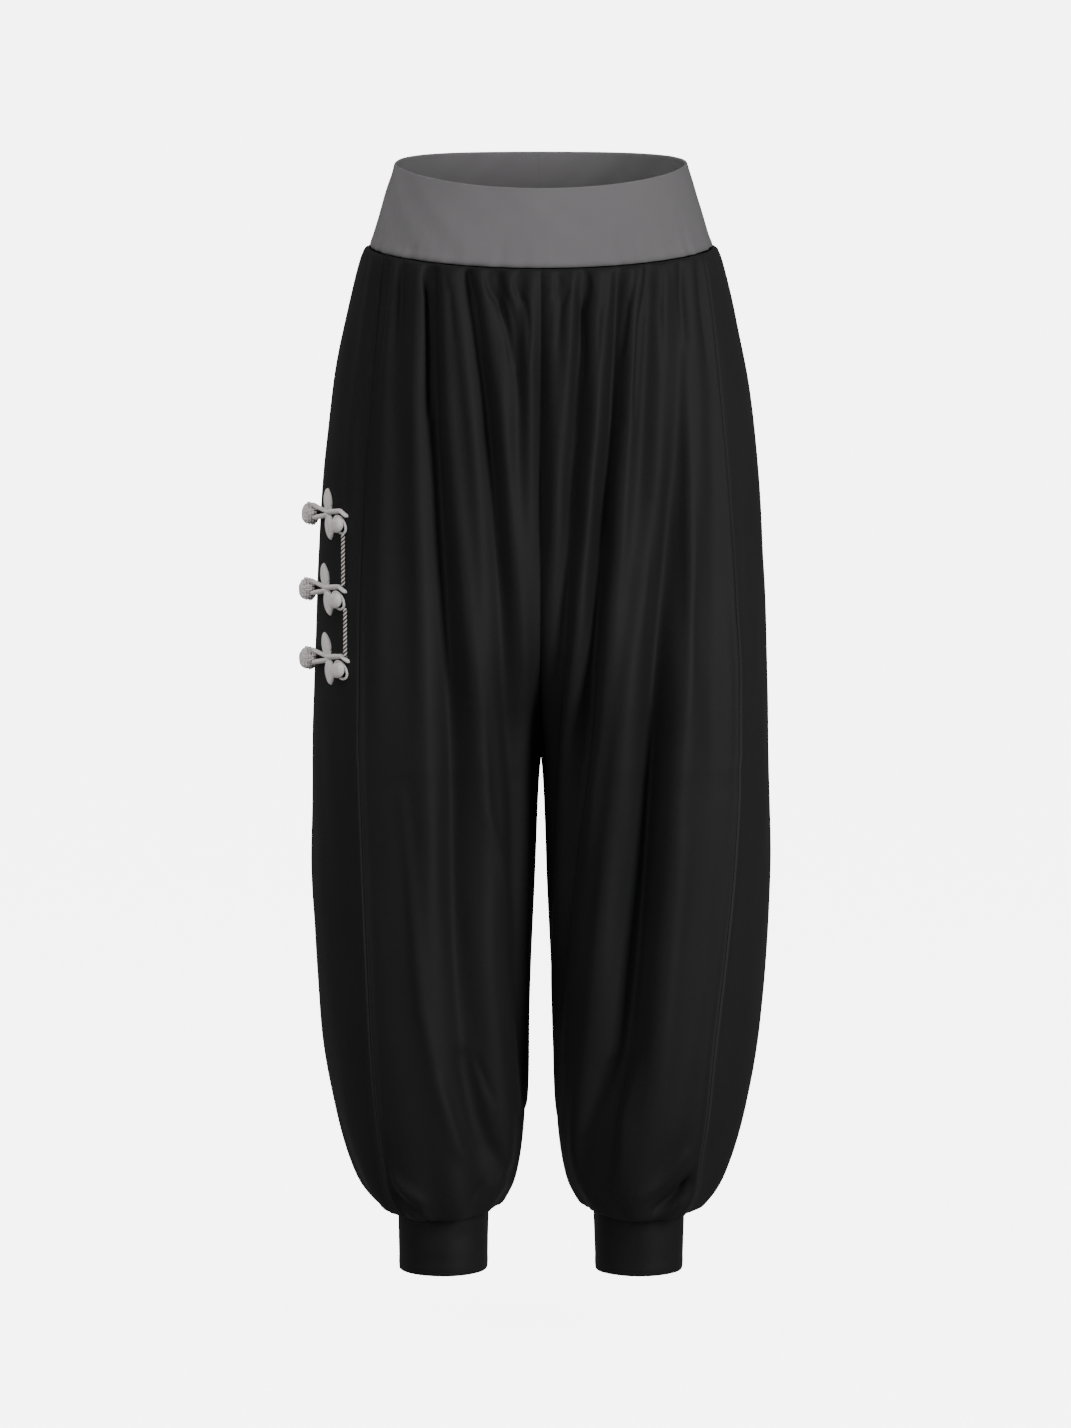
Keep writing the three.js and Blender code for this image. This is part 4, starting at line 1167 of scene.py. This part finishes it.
# %% [markdown]
# ## The eye and its bead
#
# The eye is an oval loop of wrapped cord. The bead fills the back of it: a dome wound with thread from its
# foot to its top. The loop could be a curve object with a bevel, but it has to follow the hip, so it is
# drawn flat as a mesh and laid on like the leaves. The bead is turned like a knob on a lathe, and rippled
# where the thread lies.

# %% Eyes and beads
EYE = dict(p=18.6, q=-9.2, long=10.6, wide=7.4, turn=-0.6, thick=1.1)
BEAD_AT = (19.2, -9.4)
# Painted shade in the rosette's grooves: in the map, each groove counts as this much deeper.
CREVICE_SHADE = 45  # mm of depth for each share of the radius that a groove takes away


def tube(line, radius, sides, closed, ribs=0.0, rib_pitch=1.0):
    """A round cord along a line of flat points: points, faces and flat places."""
    count = len(line)
    ahead = np.roll(line, -1, 0) - np.roll(line, 1, 0) if closed else np.gradient(line, axis=0)
    ahead = unit(ahead)
    side = unit(np.cross(ahead, np.array([0, 0, 1.0])))
    up = np.cross(side, ahead)
    gone = np.concatenate([[0], np.cumsum(np.linalg.norm(np.diff(line, axis=0), axis=1))])
    turn = np.arange(sides) * TURN / sides
    wave = 1 + ribs * np.cos(TURN * gone[:, None] / rib_pitch + turn[None, :])
    around = side[:, None] * np.cos(turn)[None, :, None] + up[:, None] * np.sin(turn)[None, :, None]
    points = line[:, None] + around * (radius * wave)[..., None]
    ids = np.arange(count * sides).reshape(count, sides)
    beside = np.roll(ids, -1, 1)
    if closed:
        faces = np.stack([ids, beside, np.roll(beside, -1, 0), np.roll(ids, -1, 0)], -1)
        faces = faces.reshape(-1, 4)
    else:
        walls = np.stack([ids[:-1], beside[:-1], beside[1:], ids[1:]], -1).reshape(-1, 4)
        faces = np.concatenate([walls, cap(ids[0][::-1]), cap(ids[-1])])
    flat = np.stack(np.broadcast_arrays(turn * radius, gone[:, None] + turn * rib_pitch / TURN), -1)
    return points.reshape(-1, 3), faces, flat.reshape(-1, 2)


def eye_loop():
    turn = np.linspace(0, TURN, 120, endpoint=False)
    x = (EYE["long"] - EYE["thick"]) * np.cos(turn)
    y = (EYE["wide"] - EYE["thick"]) * np.sin(turn)
    c, s = math.cos(EYE["turn"]), math.sin(EYE["turn"])
    line = np.stack([EYE["p"] + x * c - y * s, EYE["q"] + x * s + y * c, 0 * x + EYE["thick"]], -1)
    return tube(line, EYE["thick"], sides=14, closed=True, ribs=0.09, rib_pitch=STITCH)


def turned(profile, segments, ripple):
    """A shape turned about its axis through (radius, height) points; ripple(angle, height) scales its radius.
    Its map runs up the axis, and back down wherever the ripple cuts in."""
    profile = np.array(profile, float)
    turn = np.linspace(0, TURN, segments, endpoint=False)[:, None]
    scale = ripple(turn, profile[None, :, 1])
    radius = profile[None, :, 0] * scale
    height = np.broadcast_to(profile[None, :, 1], radius.shape)
    points = np.stack([radius * np.cos(turn), radius * np.sin(turn), height], -1)
    count = len(profile)
    ids = np.arange(segments * count).reshape(segments, count)
    after = np.roll(ids, -1, 0)
    walls = np.stack([ids[:, :-1], ids[:, 1:], after[:, 1:], after[:, :-1]], -1).reshape(-1, 4)
    faces = np.concatenate([walls, cap(ids[:, 0]), cap(ids[:, -1][::-1])])
    # The map's first value sinks where a groove cuts in, so a finish with painted shade darkens the grooves
    # as well as the foot.
    shade_place = height + CREVICE_SHADE * np.minimum(scale - 1, 0)
    flat = np.stack([shade_place, np.broadcast_to(turn * 6, height.shape)], -1)
    return points.reshape(-1, 3), faces, flat.reshape(-1, 2)


def smooth_profile(points, steps):
    """A smooth line through (radius, height) points that leaves a small hole at the axis."""
    points = np.array(points, float)
    knots = np.arange(len(points))
    at = np.linspace(0, len(points) - 1, steps)
    radius, height = curve(at, knots, points[:, 0]), curve(at, knots, points[:, 1])
    return np.stack([np.maximum(radius, 0.25), np.maximum(height, 0)], -1)


BEAD = smooth_profile(
    [(0.25, 0), (4, 0), (4.4, 1.8), (7, 3.3), (7.5, 5), (6.5, 7), (4, 8.3), (0.25, 8.8)], 44
)


def bead_rounds(turn, height):
    """An egg along the eye's long axis, wound with thread."""
    threads = 0.02 * np.cos(TURN * height / STITCH + 2 * turn)
    return 1 + 0.1 * np.cos(2 * (turn - EYE["turn"])) + threads


for frog, (across, z, *_) in FROGS.items():
    points, faces, flat = eye_loop()
    laid = lay_on_hip(points, across, z)
    sew_trim(f"eye_{frog}", "cord", (laid, faces, flat), satin)
    points, faces, flat = turned(BEAD, 96, bead_rounds)
    stood = stand_on_hip(points, across, z, *BEAD_AT)
    sew_trim(f"bead_{frog}", "satin", (stood, faces, flat), satin)
print("eyes and beads:", 2 * len(FROGS))

# %% [markdown]
# ## The trim cord
#
# The trim is two plies twisted round each other. It leaves an eye's front rim and runs straight down to the
# next frog. It is sewn down along its whole length, so it isn't a free cord. A plain round cord with a
# twisted pattern would look right from far off, but the two plies also give it its knobbly edge.

# %% Trim cords
TRIM_RUNS = {"upper": (174, -291, -336.5), "lower": (172.3, -356.5, -399)}  # across, top and foot
PLY_RADIUS, PLY_AWAY, PLY_PITCH = 0.8, 1.0, 7.2
SUNK = 0.3  # mm from the lowest ply's middle to the cloth, as sewing pulls the cord down


def trim_plies(top, foot):
    """Two plies twisted round an axis. Their flat place says how far from the axis a point is."""
    z = np.linspace(top, foot, 150)
    axis_height = PLY_AWAY + SUNK
    plies = []
    for start in (0, math.pi):
        turn = TURN * (top - z) / PLY_PITCH + start
        line = np.stack([PLY_AWAY * np.cos(turn), z - top, axis_height + PLY_AWAY * np.sin(turn)], -1)
        plies.append(tube(line, PLY_RADIUS, sides=10, closed=False, ribs=0.05, rib_pitch=1.3))
    points, faces, flat = merge(plies)
    # The distance from the axis lets the cord's finish paint shade in the groove between the plies.
    flat[:, 0] = np.hypot(points[:, 0], points[:, 2] - axis_height)
    return points, faces, flat


for run, (across, top, foot) in TRIM_RUNS.items():
    points, faces, flat = trim_plies(top, foot)
    laid = lay_on_hip(points, across, top)
    sew_trim(f"trim_{run}", "cord", (laid, faces, flat), cord_thread)
print("trim cords:", len(TRIM_RUNS))

# %% [markdown]
# ## The rosettes
#
# Each button is a knot of satin cord pulled into petals. Its foot is narrow and held between the two
# prongs, and the petals close round a small hollow at its outer end. The foot and the grooves between the
# petals carry painted shade. It could be tied from a real knot path, but at 19 mm across it reads as a ball
# with deep grooves, so it is turned on the same lathe and cut by its ripple.

# %% Rosettes
ROSETTE_PETALS = 7
ROSETTE_AT = (-27, -2.5)
GROOVE_CUT, GROOVE_NARROW = 0.16, 0.22
ROSETTE = smooth_profile(
    [(0.25, 0), (3.2, 0), (3.4, 1.2), (6.2, 2.2), (8.5, 4), (9.4, 7), (9.4, 10.8), (8.3, 13.8), (5.8, 16),
     (2.8, 16.8), (0.25, 15.4)], 72
)


def petals(turn, height):
    """Grooves between the petals, the petals' own bulges, and the wound threads."""
    open_share = smooth((height - 1) / 5)
    cut = GROOVE_CUT * bell(np.sin(ROSETTE_PETALS * turn / 2 + 0.12 * height) / GROOVE_NARROW)
    lobes = 0.06 * np.cos(ROSETTE_PETALS * turn + 0.24 * height) - cut
    lobes = lobes + 0.05 * np.cos(3 * turn + 0.5 * height) + 0.05 * np.cos(11 * turn - 0.9 * height)
    threads = 0.03 * np.cos(6 * ROSETTE_PETALS * turn + 0.8 * height)
    return 1 + open_share * (lobes + threads + 0.045 * np.cos(height * 2.6))


for frog, (across, z, *_) in FROGS.items():
    points, faces, flat = turned(ROSETTE, 168, petals)
    stood = stand_on_hip(points, across, z, *ROSETTE_AT)
    sew_trim(f"rosette_{frog}", "satin", (stood, faces, flat), petal_satin)
print("rosettes:", len(FROGS), "triangles each:", 2 * len(faces))

# %% [markdown]
# ## A pale floor
#
# A studio lights its white sweep apart from the garment, so that the sweep is bright and the garment still
# has shade in its folds. Here the floor and the wall round it are one curved sheet that glows. It isn't
# seen by the garment's own light rays, so it doesn't wash the folds out. A floor lit by the lamps alone
# would be grey.

# %% Pale sweep
FLOOR_Z = -1.03
SWEEP = [(0, 0), (9, 0), (12, 0.25), (15, 1.2), (17, 3), (18, 6), (18.2, 12)]  # distance and height in metres
SWEEP_SIDES, SWEEP_ROWS = 96, 60
SWEEP_GLOW = 6.0


def pale_sweep():
    profile = np.array(SWEEP, float)
    at = np.linspace(0, len(profile) - 1, SWEEP_ROWS)
    away, up = (curve(at, np.arange(len(profile)), profile[:, k]) for k in (0, 1))
    turn = np.linspace(0, TURN, SWEEP_SIDES, endpoint=False)[:, None]
    points = np.stack([away * np.cos(turn), away * np.sin(turn), FLOOR_Z + up + 0 * turn], -1)
    ids = np.arange(SWEEP_SIDES * len(away)).reshape(SWEEP_SIDES, -1)
    after = np.roll(ids, -1, 0)
    faces = np.stack([ids[:, :-1], after[:, :-1], after[:, 1:], ids[:, 1:]], -1).reshape(-1, 4)
    mesh = bpy.data.meshes.new("pale_sweep")
    mesh.from_pydata(points.reshape(-1, 3).tolist(), [], faces.tolist())
    mesh.polygons.foreach_set("use_smooth", [True] * len(faces))
    finish = Finish("pale_sweep")
    cloud = finish.noise(finish.object_place(), 0.8)
    mesh.materials.append(finish.surface(
        Base_Color=finish.blend(cloud, (0.86, 0.86, 0.86, 1), (0.9, 0.9, 0.9, 1)),
        Roughness=0.9,
        Emission_Color=(1, 1, 1, 1),
        Emission_Strength=SWEEP_GLOW,
    ))
    sweep = bpy.data.objects.new("pale_sweep", mesh)
    sweep.visible_diffuse = False
    sweep.visible_glossy = False
    sweep.visible_shadow = False
    bpy.context.scene.collection.objects.link(sweep)
    print(sweep.name, "faces:", len(faces))


pale_sweep()

# %% [markdown]
# ## Soft lights
#
# Black cloth shows its folds by the light that slides along them. So one strong soft box stands to the
# right, and a weak one near the camera opens the left side. Two more boxes fill the left and the top. They
# give no highlights, so they light the grey band but leave the folds of the black cloth dark. An even light
# from all round would be simpler, but it would flatten the folds.

# %% Soft lights
WORLD_LIGHT = 0.22
LIT_PLACE = Vector((0, 0, -0.47))
world = bpy.data.worlds.new("pale_studio")
world.use_nodes = True
world.node_tree.nodes["Background"].inputs["Color"].default_value = (1, 1, 1, 1)
world.node_tree.nodes["Background"].inputs["Strength"].default_value = WORLD_LIGHT
bpy.context.scene.world = world


def soft_light(name, place, size, power, shines=True):
    """A soft box that faces the garment. One that doesn't shine lights the cloth without a highlight."""
    lamp = bpy.data.lights.new(name, "AREA")
    lamp.shape = "RECTANGLE"
    lamp.size, lamp.size_y = size
    lamp.energy = power
    light = bpy.data.objects.new(name, lamp)
    light.location = place
    light.visible_glossy = shines
    light.rotation_euler = (LIT_PLACE - Vector(place)).to_track_quat("-Z", "Y").to_euler()
    bpy.context.scene.collection.objects.link(light)
    print(name, power, "W", "with" if shines else "without", "highlights")


soft_light("key_right", (2.85, -2.45, 0.6), (0.9, 2.0), 112)
soft_light("front_left", (-2.9, -4.0, 0.2), (0.9, 1.6), 24)
soft_light("fill_left", (-2.2, -3.0, 0.5), (1.2, 2.0), 30, shines=False)
soft_light("top_left", (-1.2, -0.9, 2.3), (1.2, 1.2), 40, shines=False)

# %% [markdown]
# ## Camera
#
# The camera stands 5.5 m away with a long lens and looks down by 6.3 degrees, where the rim of the
# waistband shows an opening of the right width. A nearer camera would enlarge the front of the cloth. A
# small shift puts the pair at its place in the frame.

# %% Camera
AIM = Vector((0, 0.005, -0.465))
DISTANCE = 5.5
ELEVATION = math.radians(6.3)
FOCAL_PIXELS, FRAME_HEIGHT = 6111, 1428
SHIFT_PIXELS = (-5.5, 8)
SENSOR = 36
camera_data = bpy.data.cameras.new("camera")
camera_data.sensor_width = SENSOR
camera_data.lens = FOCAL_PIXELS / FRAME_HEIGHT * SENSOR
camera_data.shift_x = SHIFT_PIXELS[0] / FRAME_HEIGHT
camera_data.shift_y = SHIFT_PIXELS[1] / FRAME_HEIGHT
camera_data.clip_end = 300
print("lens:", round(camera_data.lens), "mm on a sensor of", SENSOR, "mm")
camera = bpy.data.objects.new("camera", camera_data)
camera.location = AIM + DISTANCE * Vector((0, -math.cos(ELEVATION), math.sin(ELEVATION)))
camera.rotation_euler = (AIM - camera.location).to_track_quat("-Z", "Y").to_euler()
bpy.context.scene.collection.objects.link(camera)
bpy.context.scene.camera = camera
